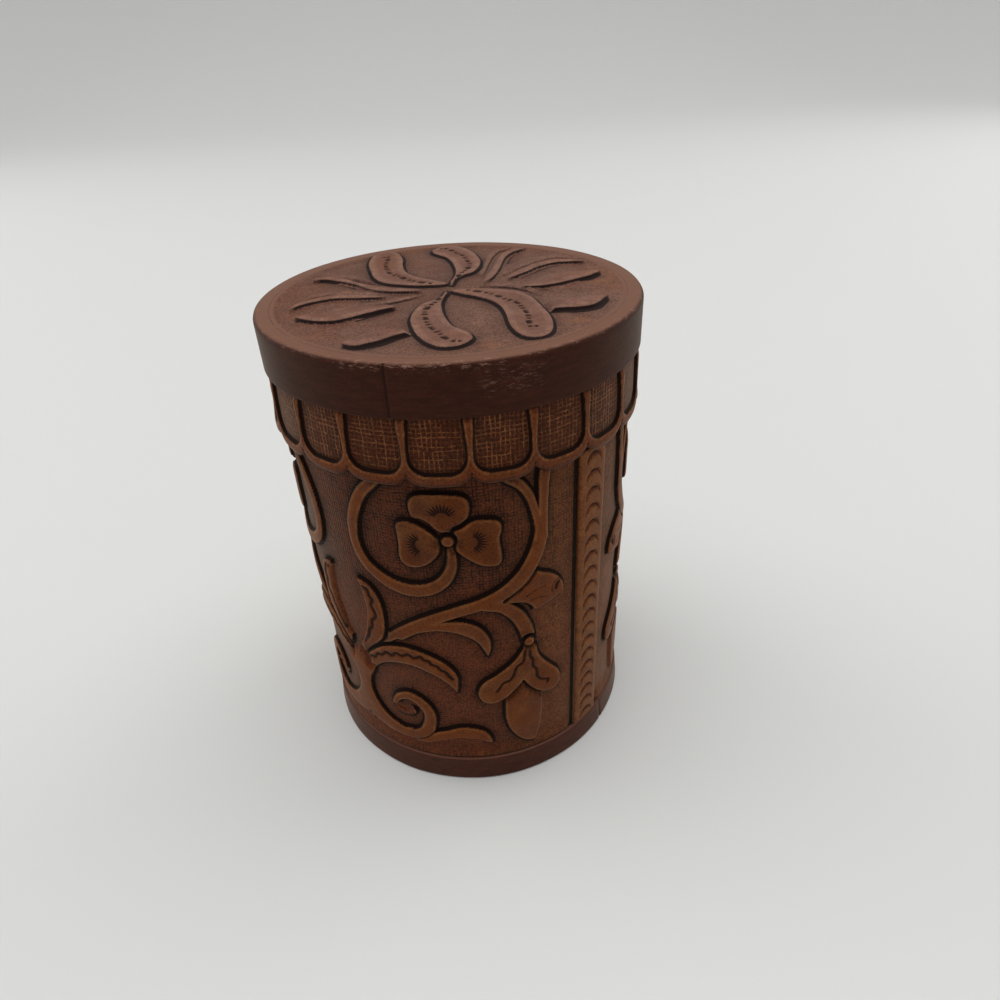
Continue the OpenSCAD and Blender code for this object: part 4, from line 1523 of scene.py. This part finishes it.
@dataclass
class ScallopBand:
    """The collar over the panels' top: hatched cells above a scalloped edge, in mm.

    A span gives the two distances, into a cell or out of it, over which something begins or ends.
    """

    node: str = "scallop_band"
    count: int = 21
    phase: float = 2.0
    joint: float = 1e-4
    rim: float = 2.0
    rim_share: float = 0.62
    rim_growth: float = 0.55
    growth_height: float = 9.0
    rim_sway: float = 0.08
    rim_sways: int = 61
    hem: float = 3.2
    corner: float = 5.0
    flare: float = 0.4
    columns_each: int = 60
    rows: int = 70
    # Heights and depths of rim, edge and cell, and how far they reach.
    lip_depth: float = 0.35
    lip_reach: float = 0.7
    edge_depth: float = 0.7
    edge_reach: float = 0.9
    cell_depth: float = 1.25
    foot_depth: float = 0.2
    foot_reach: float = 1.8
    wall: Span = (-0.15, 0.65)
    # The dot that is punched where two scallops meet.
    dot_rise: float = 0.4
    dot_depth: float = 0.3
    dot_wall: Span = (0.1, 0.6)
    dot_dye: float = 0.8
    dot_ink: Span = (0.15, 0.5)
    # Stain, rubbing, painted shade in the cells and on the hem, and hatching.
    raised: float = 0.7
    ink_start: Span = (-0.2, 0.15)
    ink_end: Span = (0.3, 0.95)
    shade_start: Span = (-0.2, 0.1)
    shade_reach: float = 1.2
    hem_shade: float = 0.9
    hem_shade_end: Span = (0.2, 1.5)
    rubbing: float = 1.1
    rub_start: Span = (-0.1, 0.15)
    rub_end: Span = (0.3, 0.9)
    hatch_start: Span = (0.3, 1.0)

    def across(self, turn: np.ndarray) -> tuple[np.ndarray, float]:
        """Measures how far places lie from the middle of their cell.

        Args:
            turn: Angle from the front, in radians.

        Returns:
            The distances along the wall, and the width of one scallop.
        """
        top_r = radii(self.node)[1] - self.flare
        step = 2 * math.pi * top_r / self.count
        return (turn - math.radians(self.phase)) * top_r % step - step / 2, step

    def edge(self, turn: np.ndarray) -> np.ndarray:
        """Gives the height of the scalloped edge.

        Args:
            turn: Angle from the front, in radians.

        Returns:
            The heights.
        """
        x, step = self.across(turn)
        beyond = np.maximum(np.abs(x) - (step - self.rim) / 2 + self.corner, 0.0)
        reach = self.corner + self.hem
        return heights(self.node)[0] + reach - np.sqrt(np.maximum(reach ** 2 - beyond ** 2, 0.0))

    def build(self, material: bpy.types.Material) -> bpy.types.Object:
        """Carves the band.

        Args:
            material: Its finish.

        Returns:
            The object.
        """
        outer_r = radii(self.node)[1]
        low, high = heights(self.node)
        columns = self.count * self.columns_each + 1
        turns = np.linspace(-math.pi + self.joint, math.pi - self.joint, columns)
        share = np.linspace(0.0, 1.0, self.rows)[:, None]
        edge = self.edge(turns)
        height = (edge + share * (high - edge)).ravel()
        turn = np.tile(turns, self.rows)
        x, step = self.across(turn)
        cell_low = low + self.hem
        growth = self.rim_growth * ease(high - self.growth_height, high, height)
        rim = self.rim * (self.rim_share + growth + self.rim_sway * np.sin(self.rim_sways * turn))
        beyond, under = np.abs(x) - (step - rim) / 2 + self.corner, cell_low + self.corner - height
        gap = np.hypot(np.maximum(beyond, 0.0), np.maximum(under, 0.0)) - self.corner
        gap += np.minimum(np.maximum(beyond, under), 0.0)
        inside, to_edge = -gap, self.hem - gap
        away = np.maximum(np.minimum(to_edge, high - height), 0.0)
        top = -self.lip_depth * np.exp(-np.abs(gap) / self.lip_reach)
        top -= self.edge_depth * np.exp(-away / self.edge_reach)
        floor = -self.cell_depth - self.foot_depth * (1 - ease(0.0, self.foot_reach, inside))
        level = top + (floor - top) * ease(*self.wall, inside)
        dot = np.hypot(np.abs(x) - step / 2, height - cell_low - self.dot_rise)
        level -= self.dot_depth * (1 - ease(*self.dot_wall, dot))
        dye = ease(*self.ink_start, inside) * (1 - ease(*self.ink_end, inside))
        # Painted shade inside each cell beside its rim; the hem's painted shade darkens it toward its lower
        # edge.
        painted_shade = ease(*self.shade_start, inside) * np.exp(-np.maximum(inside, 0.0) / self.shade_reach)
        values = {
            "relief": self.raised * np.clip(1 + level / self.cell_depth, 0.0, 1.0),
            "dye": np.maximum(dye, self.dot_dye * (1 - ease(*self.dot_ink, dot))),
            "shade_and_stain": np.maximum(painted_shade, self.hem_shade * (1 - ease(*self.hem_shade_end, to_edge))),
            "wear_and_light": self.rubbing * ease(*self.rub_start, gap) * (1 - ease(*self.rub_end, gap)),
            "hatch": ease(*self.hatch_start, inside),
        }
        radius = outer_r - self.flare * (height - low) / (high - low)
        sheet = WallSheet(self.node, columns, radius + level, turn, height)
        return sheet.make("carved", values, turn * outer_r, material)


@dataclass
class TooledPanel:
    """One carved half of the body's covering, in mm and, for turns, degrees from the front."""

    node: str
    low_turn: float
    high_turn: float
    faces_back: bool
    strip_turn: float
    axis_turn: float
    strip_width: float
    band: ScallopBand
    profile: CutProfile = CutProfile()
    spacing: float = 0.33
    # Hatching of the ground, denser above, and rubbing of the ground beside the right strip.
    ground_end: Span = (0.3, 0.8)
    hatch_least: float = 0.35
    hatch_gain: float = 0.6
    hatch_heights: Span = (62.0, 92.0)
    rubbing: float = 0.5
    rub_start: Span = (6.0, 26.0)
    # The bank of leather that rises toward the base band.
    bank: float = 0.85
    bank_end: Span = (0.3, 7.0)
    bank_foot: Span = (0.1, 0.5)
    bank_side: Span = (1.5, 4.0)
    # How far the leather is flat beside strip, base band and collar, and how deep.
    flat_beside: float = 0.15
    flat_above: float = 0.1
    flat_below: float = 0.05
    flat_depth: float = 0.03
    flat_fade: float = 0.35
    # The dark lines beside strip, base band and collar, partly dye and partly painted shade, and the reach
    # of painted shade beside strip and collar.
    line_left: float = 0.4
    line_right: float = -0.55
    strip_line: float = 0.7
    base_line: float = 0.3
    collar_line: float = 0.4
    collar_gap: float = 0.2
    line_fade: float = 0.7
    shade_reach: float = 1.8

    def drawing(self, along: np.ndarray, radius: float) -> np.ndarray:
        """Finds the places of the ornament's drawing that lie at places along the wall.

        The drawing covers the stretch from the panel's axis to the right strip. The rest mirrors it.

        Args:
            along: Arc length from the front, in mm.
            radius: Radius of the raised leather, in mm.

        Returns:
            Arc length in the drawing.
        """
        strip, axis = math.radians(self.strip_turn) * radius, math.radians(self.axis_turn) * radius
        if self.faces_back:
            along = 2 * strip - along
        return np.where(along < axis, 2 * axis - along, along)

    def build(self, material: bpy.types.Material) -> bpy.types.Object:
        """Carves the panel.

        Args:
            material: Its finish.

        Returns:
            The object.
        """
        radius = radii(self.node)[1]
        low, high = heights(self.node)
        start, end = math.radians(self.low_turn) * radius, math.radians(self.high_turn) * radius
        columns, rows = round((end - start) / self.spacing) + 1, round((high - low) / self.spacing) + 1
        along, height = grid(np.linspace(start, end, columns), np.linspace(low, high, rows))
        carving = Carving(np.stack([self.drawing(along, radius), height], 1), self.profile)
        carving.carve(BODY_FORMS)
        self.tuck_in(carving, along, height, radius)
        values = carving.values()
        ground = 1 - ease(*self.ground_end, values["relief"])
        values["hatch"] = ground * (self.hatch_least + self.hatch_gain * ease(*self.hatch_heights, height))
        rubbed = self.rubbing * ground * ease(*self.rub_start, carving.points[:, 0])
        values["wear_and_light"] = np.maximum(values["wear_and_light"], rubbed)
        sheet = WallSheet(self.node, columns, radius + carving.height, along / radius, height)
        return sheet.make("carved", values, along, material)

    def tuck_in(self, carving: Carving, along: np.ndarray, height: np.ndarray, radius: float) -> None:
        """Flattens the leather under strips and bands and darkens it beside them with dye and painted
        shade.

        Args:
            carving: The panel's carving.
            along: Arc length of its points from the front.
            height: Height of its points.
            radius: Radius of the raised leather.
        """
        ground = -self.profile.ground
        base_top = heights("base_band")[1]
        strips = np.radians([self.strip_turn - 180, self.strip_turn, self.strip_turn + 180]) * radius
        off = along[:, None] - strips
        off = off[np.arange(len(along)), np.abs(off).argmin(1)]
        beside = np.abs(off) - self.strip_width / 2
        below = self.band.edge(along / radius) - height
        above = height - base_top
        rise = self.bank * (1 - ease(*self.bank_end, above))
        rise *= ease(*self.bank_foot, above) * ease(*self.bank_side, beside)
        carving.height = np.maximum(carving.height, ground + rise)
        open_side = np.minimum(beside - self.flat_beside, above - self.flat_above)
        open_side = np.minimum(open_side, below - self.flat_below)
        covered = 1 - ease(0.0, self.flat_fade, open_side)
        carving.height += (ground - self.flat_depth - carving.height) * covered
        by_strip = beside - np.where(off < 0, self.line_left, self.line_right)
        by_collar = below - self.collar_gap
        # Dark lines beside strip, base band and collar: partly dye in the joints, partly painted shade, a
        # painted shadow under the collar.
        for distance, width, run in ((by_strip, self.strip_line, height), (above, self.base_line, along),
                                     (by_collar, self.collar_line, along)):
            carving.dye = np.maximum(carving.dye, 1 - ease(width, width + self.line_fade, distance))
            closer = distance < carving.stroke[:, 1]
            carving.stroke[closer] = np.stack([run / self.profile.stroke_pitch, distance], 1)[closer]
        # Painted shade on the panel beside the strips and under the collar.
        painted_shade = np.exp(-np.maximum(np.minimum(beside, below), 0.0) / self.shade_reach)
        carving.shade_and_stain = np.maximum(carving.shade_and_stain, painted_shade)


@dataclass
class SeamStrip:
    """The strip over a butt joint, stamped with a row of crescents, in mm and, for its turn, degrees."""

    node: str
    turn: float
    width: float
    pitch: float = 5.8
    first: float = 1.5
    overrun: float = 2.0
    crescent_r: float = 3.3
    crescent_w: float = 1.7
    depth: float = 0.7
    wall: Span = (-0.3, 0.7)
    edge_depth: float = 0.4
    edge_reach: float = 0.5
    spacing: float = 0.28
    # Stain, painted shade in and round the crescents, and rubbing. The crescents' stain is darker at the
    # right.
    raised: float = 0.7
    full_relief: float = 1.2
    dye: float = 0.62
    left_share: float = 0.6
    right_side: Span = (-3.0, 3.0)
    painted_shade: float = 0.4
    shade_reach: float = 0.6
    rubbing: float = 0.75

    def build(self, material: bpy.types.Material) -> bpy.types.Object:
        """Stamps the strip.

        Args:
            material: Its finish.

        Returns:
            The object.
        """
        radius = radii(self.node)[1]
        low, high = heights(self.node)
        half = self.width / 2
        columns, rows = round(self.width / self.spacing) + 1, round((high - low) / self.spacing) + 1
        across, height = grid(np.linspace(-half, half, columns), np.linspace(low, high, rows))
        edge = np.minimum(half - np.abs(across), np.minimum(height - low, high - height))
        up = (height - low - self.first) % self.pitch
        whole = height - up + self.pitch < high + self.overrun
        inside = np.full(len(across), -FAR)
        for shift in (-self.pitch, 0.0):
            rise = up + shift
            outer_gap = self.crescent_r - np.hypot(across, rise)
            inner_gap = np.hypot(across, rise + self.crescent_w) - self.crescent_r
            inside = np.maximum(inside, np.where(whole, np.minimum(outer_gap, inner_gap), -FAR))
        stamp = ease(*self.wall, inside)
        level = -self.edge_depth * np.exp(-edge / self.edge_reach) - self.depth * stamp
        side = self.left_share + (1 - self.left_share) * ease(*self.right_side, across)
        values = {
            "relief": np.clip(self.raised + level / self.full_relief, 0.0, 1.0),
            "dye": self.dye * stamp * side,
            # Painted shade in and round each crescent.
            "shade_and_stain": self.painted_shade * np.exp(-np.maximum(-inside, 0.0) / self.shade_reach),
            "wear_and_light": self.rubbing * (1 - stamp),
        }
        turn = math.radians(self.turn) + across / radius
        sheet = WallSheet(self.node, columns, radius + level, turn, height)
        return sheet.make("stamped", values, across, material)


@dataclass
class Medallion:
    """The carved round leather on the lid, in mm. Its first spans are distances from its rim."""

    node: str = "lid_medallion"
    side: int = 400
    profile: CutProfile = CutProfile(
        ground=1.0, cut=1.7, slope=2.8, wall=0.5, dye_width=0.45, rub_width=3.0)
    rim_level: float = -0.6
    bank: Span = (0.3, 5.0)
    rim_lift: float = 0.05
    rise: float = 0.75
    rise_start: Span = (0.2, 2.0)
    clear_rim: Span = (0.5, 2.5)
    rim_dye: float = 0.4
    rim_dye_end: Span = (0.05, 0.5)
    # Painted light: the top grows lighter along a direction across it, toward the front right, as if lit
    # more from there.
    rubbing: float = 0.35
    rub_direction: Point = (0.6, -0.8)
    rub_start: Span = (-30.0, 45.0)
    # Stained patches: X, Y and reach of each, and over which share of its reach it ends.
    stain: float = 0.7
    stain_end: Span = (0.3, 1.0)
    stains: Route = ((-38, -30, 9), (-32, -37, 8), (31, -34, 9), (46, 4, 9), (45, -8, 8), (6, -47, 7))

    def disc(self, radius: float) -> np.ndarray:
        """Spreads a square grid evenly over a disc.

        Args:
            radius: Radius of the disc.

        Returns:
            X and Y of the grid's points.
        """
        x, y = grid(np.linspace(-1, 1, self.side), np.linspace(-1, 1, self.side))
        wide = np.abs(x) >= np.abs(y)
        reach = np.where(wide, x, y)
        ratio = np.where(wide, y, x) / np.where(np.abs(reach) < 1e-9, 1.0, reach)
        turn = math.pi / 4 * ratio
        a, b = reach * np.cos(turn) * radius, reach * np.sin(turn) * radius
        return np.stack([np.where(wide, a, b), np.where(wide, b, a)], 1)

    def build(self, material: bpy.types.Material) -> bpy.types.Object:
        """Carves the medallion.

        Args:
            material: Its finish.

        Returns:
            The object.
        """
        radius = radii(self.node)[1]
        low, top = heights(self.node)
        places = self.disc(radius)
        carving = Carving(places, self.profile)
        carving.carve(LID_FORMS)
        rim_gap = radius - np.hypot(places[:, 0], places[:, 1])
        bank = self.rim_level - (self.rim_level + self.profile.ground) * ease(*self.bank, rim_gap)
        lid = self.rim_level + self.rim_lift + self.rise * ease(*self.rise_start, rim_gap)
        carving.height = np.minimum(np.maximum(carving.height, bank), lid)
        count = self.side * self.side
        index = np.arange(count).reshape(self.side, self.side)
        rim = np.concatenate([index[0, :-1], index[:-1, -1], index[-1, :0:-1], index[:0:-1, 0]])
        outer = np.concatenate([places, (top + carving.height)[:, None]], 1)
        foot = np.concatenate([places[rim], np.full((len(rim), 1), low)], 1)
        below = count + np.arange(len(rim))
        wall = np.stack([below, np.roll(below, -1), np.roll(rim, -1), rim], 1)
        faces = grid_quads(self.side, self.side).tolist() + wall.tolist() + [below[::-1].tolist()]
        clear = ease(*self.clear_rim, rim_gap)
        values = carving.values()
        rim_dye = self.rim_dye * (1 - ease(*self.rim_dye_end, rim_gap))
        values["dye"] = np.maximum(values["dye"] * clear, rim_dye)
        # Painted light: the top is lighter toward the front right, as if more light fell there.
        rubbed = self.rubbing * ease(*self.rub_start, places @ np.array(self.rub_direction))
        values["wear_and_light"] = np.maximum(values["wear_and_light"] * clear, rubbed)
        values["edge"] = np.zeros(count)
        for x, y, reach in self.stains:
            away = np.hypot(places[:, 0] - x, places[:, 1] - y) / reach
            values["edge"] = np.maximum(values["edge"], self.stain * (1 - ease(*self.stain_end, away)))
        piece = Piece(self.node + "_carved", np.concatenate([outer, foot]), faces, Body.LID, Slot.MEDALLION,
                      self.node, values, places)
        return piece.make(material)


@dataclass(frozen=True)
class Scuff:
    """A rubbed place on a band: its angles from the front, in degrees, its heights and its strength."""

    low_turn: float
    high_turn: float
    low: float
    high: float
    strength: float
    side_fade: float = 4.0
    end_fade: float = 0.9

    def cover(self, turn: np.ndarray, height: np.ndarray) -> np.ndarray:
        """Tells how strongly places on the band are rubbed.

        Args:
            turn: Angle from the front, in radians.
            height: Height, in mm.

        Returns:
            The strengths.
        """
        degrees = (np.degrees(turn) + 180.0) % 360.0 - 180.0
        beside = np.minimum(degrees - self.low_turn, self.high_turn - degrees)
        inside = np.minimum(height - self.low, self.high - height)
        return self.strength * ease(0.0, self.side_fade, beside) * ease(0.0, self.end_fade, inside)


@dataclass
class LeatherBand:
    """A smooth band of revolution with a butt seam, in mm and, for its seam's turn, degrees.

    A span below gives two distances inward from the outer radius, or down from the top for top_start.
    """

    node: str
    body: Body
    seam_turn: float
    scuffs: tuple[Scuff, ...] = ()
    segments: int = 720
    seam_depth: float = 0.3
    seam_width: float = 0.9
    seam_line: Span = (0.15, 0.7)
    seam_face: float = 0.3
    face_start: Span = (1.5, 0.1)
    worn_start: Span = (2.5, 1.0)
    top_start: Span = (0.35, 0.02)
    # Where the top is painted lighter as if lit from above, and how much less at its outer corner.
    corner_start: Span = (1.4, 0.2)
    corner_share: float = 0.5
    # The wall's slight unevenness: depth, waves round the band and phase of each part.
    sways: Route = ((0.07, 5, 1.0), (0.05, 11, 0.4))
    sway_level: float = -0.1
    # How far after an arc the section's next point lies.
    lead: float = 0.5

    def profile(self) -> np.ndarray:
        """Gives the section as (radius, height) points, counter-clockwise with the axis on the left."""
        raise NotImplementedError

    def build(self, material: bpy.types.Material) -> bpy.types.Object:
        """Turns the section round the axis and opens the seam.

        Args:
            material: Its finish.

        Returns:
            The object.
        """
        section = self.profile()
        outer_r = section[:, 0].max()
        count = len(section)
        turns = np.linspace(0.0, 2 * math.pi, self.segments, endpoint=False) + math.radians(self.seam_turn)
        r, turn = np.meshgrid(section[:, 0], turns)
        z = np.broadcast_to(section[:, 1], r.shape)

        def inward(span: Span) -> np.ndarray:
            """Eases from 0 to 1 between two distances from the outer radius."""
            return ease(outer_r - span[0], outer_r - span[1], r)

        away = np.abs((turn - math.radians(self.seam_turn) + math.pi) % (2 * math.pi) - math.pi) * outer_r
        face = inward(self.face_start)
        sway = sum(depth * np.sin(waves * turn + phase) for depth, waves, phase in self.sways)
        seam = self.seam_depth * (1 - ease(0.0, self.seam_width, away))
        points = on_wall(r + face * (np.minimum(sway + self.sway_level, 0.0) - seam), turn, z)
        worn = np.zeros(r.shape)
        for scuff in self.scuffs:
            worn = np.maximum(worn, scuff.cover(turn, z))
        # The top is lighter, partly wear and partly painted light from above, less so at its outer corner.
        top = ease(z.max() - self.top_start[0], z.max() - self.top_start[1], z)
        values = {
            "dye": np.where(face > self.seam_face, 1 - ease(*self.seam_line, away), 0.0).ravel(),
            "edge": (worn * inward(self.worn_start)).ravel(),
            "wear_and_light": (top * (1 - self.corner_share * inward(self.corner_start))).ravel(),
        }
        index = np.arange(self.segments * count).reshape(self.segments, count)
        following = np.roll(index, -1, 0)
        corners = [index, following, np.roll(following, -1, 1), np.roll(index, -1, 1)]
        faces = np.stack(corners, -1).reshape(-1, 4).tolist()
        piece = Piece(self.node + "_leather", points.reshape(-1, 3), faces, self.body, Slot.BAND, self.node,
                      values)
        return piece.make(material)


def bend(centre: Point, r: float, start: float, end: float, steps: int = 6) -> list[Point]:
    """Draws an arc.

    Args:
        centre: Its middle.
        r: Its radius.
        start: First angle, in degrees.
        end: Last angle, in degrees.
        steps: Steps along it.

    Returns:
        Its points.
    """
    turns = [math.radians(start + (end - start) * i / steps) for i in range(steps + 1)]
    return [(centre[0] + r * math.cos(a), centre[1] + r * math.sin(a)) for a in turns]


def straight(start: Point, end: Point, step: float = 1.5) -> list[Point]:
    """Draws a straight stretch without its last point.

    Args:
        start: First point.
        end: Last point.
        step: Distance between points.

    Returns:
        Its points.
    """
    count = max(1, round(math.dist(start, end) / step))
    return [(start[0] + (end[0] - start[0]) * i / count, start[1] + (end[1] - start[1]) * i / count)
            for i in range(count)]


@dataclass
class LidBand(LeatherBand):
    """The band round the lid, turned over on its top."""

    edge_r: float = 1.2
    thickness: float = 1.4
    foot_r: float = 0.3
    rim_r: float = 0.3
    rim_lead: float = 0.1

    def profile(self) -> np.ndarray:
        """Draws the section.

        Returns:
            Its (radius, height) points.
        """
        inner_r, outer_r = radii(self.node)
        low, high = heights(self.node)
        wall, under = outer_r - self.thickness, high - self.thickness
        foot, corner = outer_r - self.foot_r, outer_r - self.edge_r
        points = straight((wall, low), (foot, low))
        points += bend((foot, low + self.foot_r), self.foot_r, -90, 0, 3)
        points += straight((outer_r, low + self.foot_r + self.lead), (outer_r, high - self.edge_r))
        points += bend((corner, high - self.edge_r), self.edge_r, 0, 90)
        points += straight((corner - self.lead, high), (inner_r + self.rim_r + self.rim_lead, high))
        points += bend((inner_r + self.rim_r, high - self.rim_r), self.rim_r, 90, 180, 3)
        points += straight((inner_r, high - 2 * self.rim_r), (inner_r, under))
        points += straight((inner_r, under), (wall, under)) + straight((wall, under), (wall, low))
        return np.array(points)


@dataclass
class BaseBand(LeatherBand):
    """The band round the base, a little wider at its foot and turned under it."""

    edge_r: float = 0.5
    thickness: float = 1.5
    flare: float = 0.7
    rim_r: float = 0.4
    rim_lead: float = 0.2

    def profile(self) -> np.ndarray:
        """Draws the section.

        Returns:
            Its (radius, height) points.
        """
        inner_r, foot_r = radii(self.node)
        low, high = heights(self.node)
        top_r = foot_r - self.flare
        wall, flange = top_r - self.thickness, low + self.thickness
        corner, rim = foot_r - self.edge_r, high - self.rim_r
        points = straight((inner_r, low), (corner, low))
        points += bend((corner, low + self.edge_r), self.edge_r, -90, 0)
        points += straight((foot_r, low + self.edge_r + self.lead), (top_r, rim))
        points += bend((top_r - self.rim_r, rim), self.rim_r, 0, 90, 4)
        points += straight((top_r - self.rim_r - self.rim_lead, high), (wall, high))
        points += straight((wall, high), (wall, flange)) + straight((wall, flange), (inner_r, flange))
        points += straight((inner_r, flange), (inner_r, low))
        return np.array(points)


@dataclass(frozen=True)
class Dressing:
    """A finish for CAD nodes that stay as they are."""

    finish: PlainFinish
    slot: Slot
    nodes: tuple[str, ...]

    def apply(self, effects: Effects) -> None:
        """Gives the nodes their material.

        Args:
            effects: Shared node groups.
        """
        material = self.finish.material(effects)
        for name in self.nodes:
            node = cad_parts[name]
            node.data.materials.clear()
            node.data.materials.append(material)
            LOG.info("%s: CAD node with %s", name, self.finish.name)


@dataclass
class Canister:
    """The body with its carved covering, in mm and degrees from the front."""

    effects: Effects
    strip_turn: float = 42.0
    axis_turn: float = -45.9
    strip_width: float = 11.5
    joint: float = 0.12
    base_seam: float = 51.5

    def build(self) -> None:
        """Builds panels, strips, scalloped band and base band."""
        leather = TOOLED.material(self.effects)
        band = BAND.material(self.effects)
        collar = ScallopBand()
        common = (self.strip_turn, self.axis_turn, self.strip_width, collar)
        panels = (("front", self.strip_turn, False), ("back", self.strip_turn + 180, True))
        for side, end, faces_back in panels:
            ends = (end - 180 + self.joint, end - self.joint)
            TooledPanel("tooled_panel_" + side, *ends, faces_back, *common).build(leather)
        for side, turn in (("right", self.strip_turn), ("left", self.strip_turn + 180)):
            SeamStrip("seam_strip_" + side, turn, self.strip_width).build(leather)
        collar.build(COLLAR.material(self.effects))
        BaseBand("base_band", Body.CANISTER, self.base_seam).build(band)


@dataclass
class Lid:
    """The over-cap lid. Its seam's turn is in degrees from the front."""

    effects: Effects
    seam_turn: float = -17.5

    def scuffs(self) -> tuple[Scuff, ...]:
        """Lays out the rubbed places: the rim in front, partly a painted highlight along its top edge, a
        patch under it and, faintly, the whole rim.

        Returns:
            The rubbed places.
        """
        high = heights("lid_band")[1]
        return (
            # The rim in front is partly a painted highlight along the top edge.
            Scuff(-32.0, 14.0, high - 1.6, high + 1.0, 0.7),
            Scuff(4.0, 24.0, high - 9.0, high - 1.2, 0.3),
            Scuff(-180.0, 180.0, high - 1.0, high + 1.0, 0.35),
        )

    def build(self) -> None:
        """Builds the lid's band and medallion."""
        LidBand("lid_band", Body.LID, self.seam_turn, self.scuffs()).build(BAND_LID.material(self.effects))
        Medallion().build(MEDALLION.material(self.effects))


@dataclass(frozen=True)
class Studio:
    """Pale floor, soft light and the photograph's camera, in metres and radians.

    The focal length is given in pixels of a picture that is frame_pixels wide, the sensor in mm.
    """

    lens_pixels: float = 710.737
    frame_pixels: float = 1000.0
    sensor: float = 36.0
    nearest: float = 0.01
    pitch: float = 0.584271
    roll: float = 0.0489647
    yaw: float = 0.0567844
    distance: float = 0.29970
    elevation: float = 0.803901
    floor_reach: float = 6.0
    sweep_start: float = 2.0
    sweep_r: float = 1.5
    sweep_steps: int = 24
    floor_colour: Triple = srgb(217, 217, 214)
    floor_roughness: float = 0.8
    sky: Triple = (0.95, 0.97, 1.0)
    sky_strength: float = 0.34
    sun_strength: float = 2.45
    sun_spread: float = math.pi / 2
    sun_direction: Triple = (0.04, -0.24, -1.0)
    lamp_power: float = 7.0
    lamp_size: float = 1.4
    lamp_place: Triple = (1.6, 0.65, 0.9)
    lamp_aim: Triple = (0.0, 0.0, 0.08)

    def build(self) -> None:
        """Builds the floor, the lamps, the world and the camera."""
        self.floor()
        self.lamps()
        self.camera()

    def floor(self) -> None:
        """Lays a plain pale floor that rises behind the container in a wide sweep."""
        reach, start, r = self.floor_reach, self.sweep_start, self.sweep_r
        sweep = [(-reach, 0.0)] + bend((start, r), r, -90, 0, self.sweep_steps) + [(start + r, reach)]
        points = [(x, y, z) for y, z in sweep for x in (-reach, reach)]
        faces = [[2 * i, 2 * i + 1, 2 * i + 3, 2 * i + 2] for i in range(len(sweep) - 1)]
        mesh = bpy.data.meshes.new("floor")
        mesh.from_pydata(points, [], faces)
        mesh.polygons.foreach_set("use_smooth", [True] * len(faces))
        material, _, shader = new_material("Floor")
        shader.inputs["Base Color"].default_value = (*self.floor_colour, 1.0)
        shader.inputs["Roughness"].default_value = self.floor_roughness
        mesh.materials.append(material)
        floor = bpy.data.objects.new("floor", mesh)
        bpy.context.scene.collection.objects.link(floor)

    def hang(self, lamp: bpy.types.Light, place: Triple, direction: Vector) -> None:
        """Hangs a lamp.

        Args:
            lamp: The lamp.
            place: Where it hangs.
            direction: Where it shines.
        """
        item = bpy.data.objects.new(lamp.name, lamp)
        item.location = place
        item.rotation_euler = direction.to_track_quat("-Z", "Y").to_euler()
        bpy.context.scene.collection.objects.link(item)

    def lamps(self) -> None:
        """Hangs soft lamps and lights the surroundings."""
        world = bpy.data.worlds.new("Surroundings")
        world.use_nodes = True
        shade = world.node_tree.nodes["Background"]
        shade.inputs["Color"].default_value = (*self.sky, 1.0)
        shade.inputs["Strength"].default_value = self.sky_strength
        bpy.context.scene.world = world
        sun = bpy.data.lights.new("overhead", "SUN")
        sun.angle = self.sun_spread
        sun.energy = self.sun_strength
        self.hang(sun, (0.0, 0.0, 0.0), Vector(self.sun_direction))
        for name, side in (("left", -1), ("right", 1)):
            lamp = bpy.data.lights.new(name, "AREA")
            lamp.size = self.lamp_size
            lamp.energy = self.lamp_power
            place = (side * self.lamp_place[0], *self.lamp_place[1:])
            self.hang(lamp, place, Vector(self.lamp_aim) - Vector(place))

    def camera(self) -> None:
        """Sets the camera as the photograph was taken."""
        ahead = math.cos(self.pitch)
        forward = Vector((math.sin(self.yaw) * ahead, math.cos(self.yaw) * ahead, -math.sin(self.pitch)))
        level = Vector((math.cos(self.yaw), -math.sin(self.yaw), 0.0))
        down = forward.cross(level)
        right = math.cos(self.roll) * level + math.sin(self.roll) * down
        down = math.cos(self.roll) * down - math.sin(self.roll) * level
        lens = bpy.data.cameras.new("camera")
        lens.sensor_width = self.sensor
        lens.lens = self.lens_pixels * self.sensor / self.frame_pixels
        lens.clip_start = self.nearest
        camera = bpy.data.objects.new("camera", lens)
        place = Vector((0.0, -math.cos(self.elevation), math.sin(self.elevation))) * self.distance
        axes = Matrix((right, -down, -forward)).transposed().to_4x4()
        camera.matrix_world = Matrix.Translation(place) @ axes
        bpy.context.scene.collection.objects.link(camera)
        bpy.context.scene.camera = camera


DRESSINGS = (
    Dressing(BOARD, Slot.BOARD, ("body_tube", "base_board", "lid_board", "lid_hoop")),
    Dressing(LINING, Slot.LINING, ("lining_sleeve", "lining_floor", "lid_lining", "hoop_lining")),
    Dressing(FACING, Slot.BAND, ("neck_facing", "base_pad")),
)


def main() -> None:
    """Builds and dresses everything in order."""
    logging.basicConfig(level=logging.INFO, format="%(name)s: %(message)s")
    bpy.context.scene.view_settings.view_transform = "Standard"
    effects = Effects()
    for dressing in DRESSINGS:
        dressing.apply(effects)
    Canister(effects).build()
    Lid(effects).build()
    Studio().build()


if __name__ == "__main__":
    main()
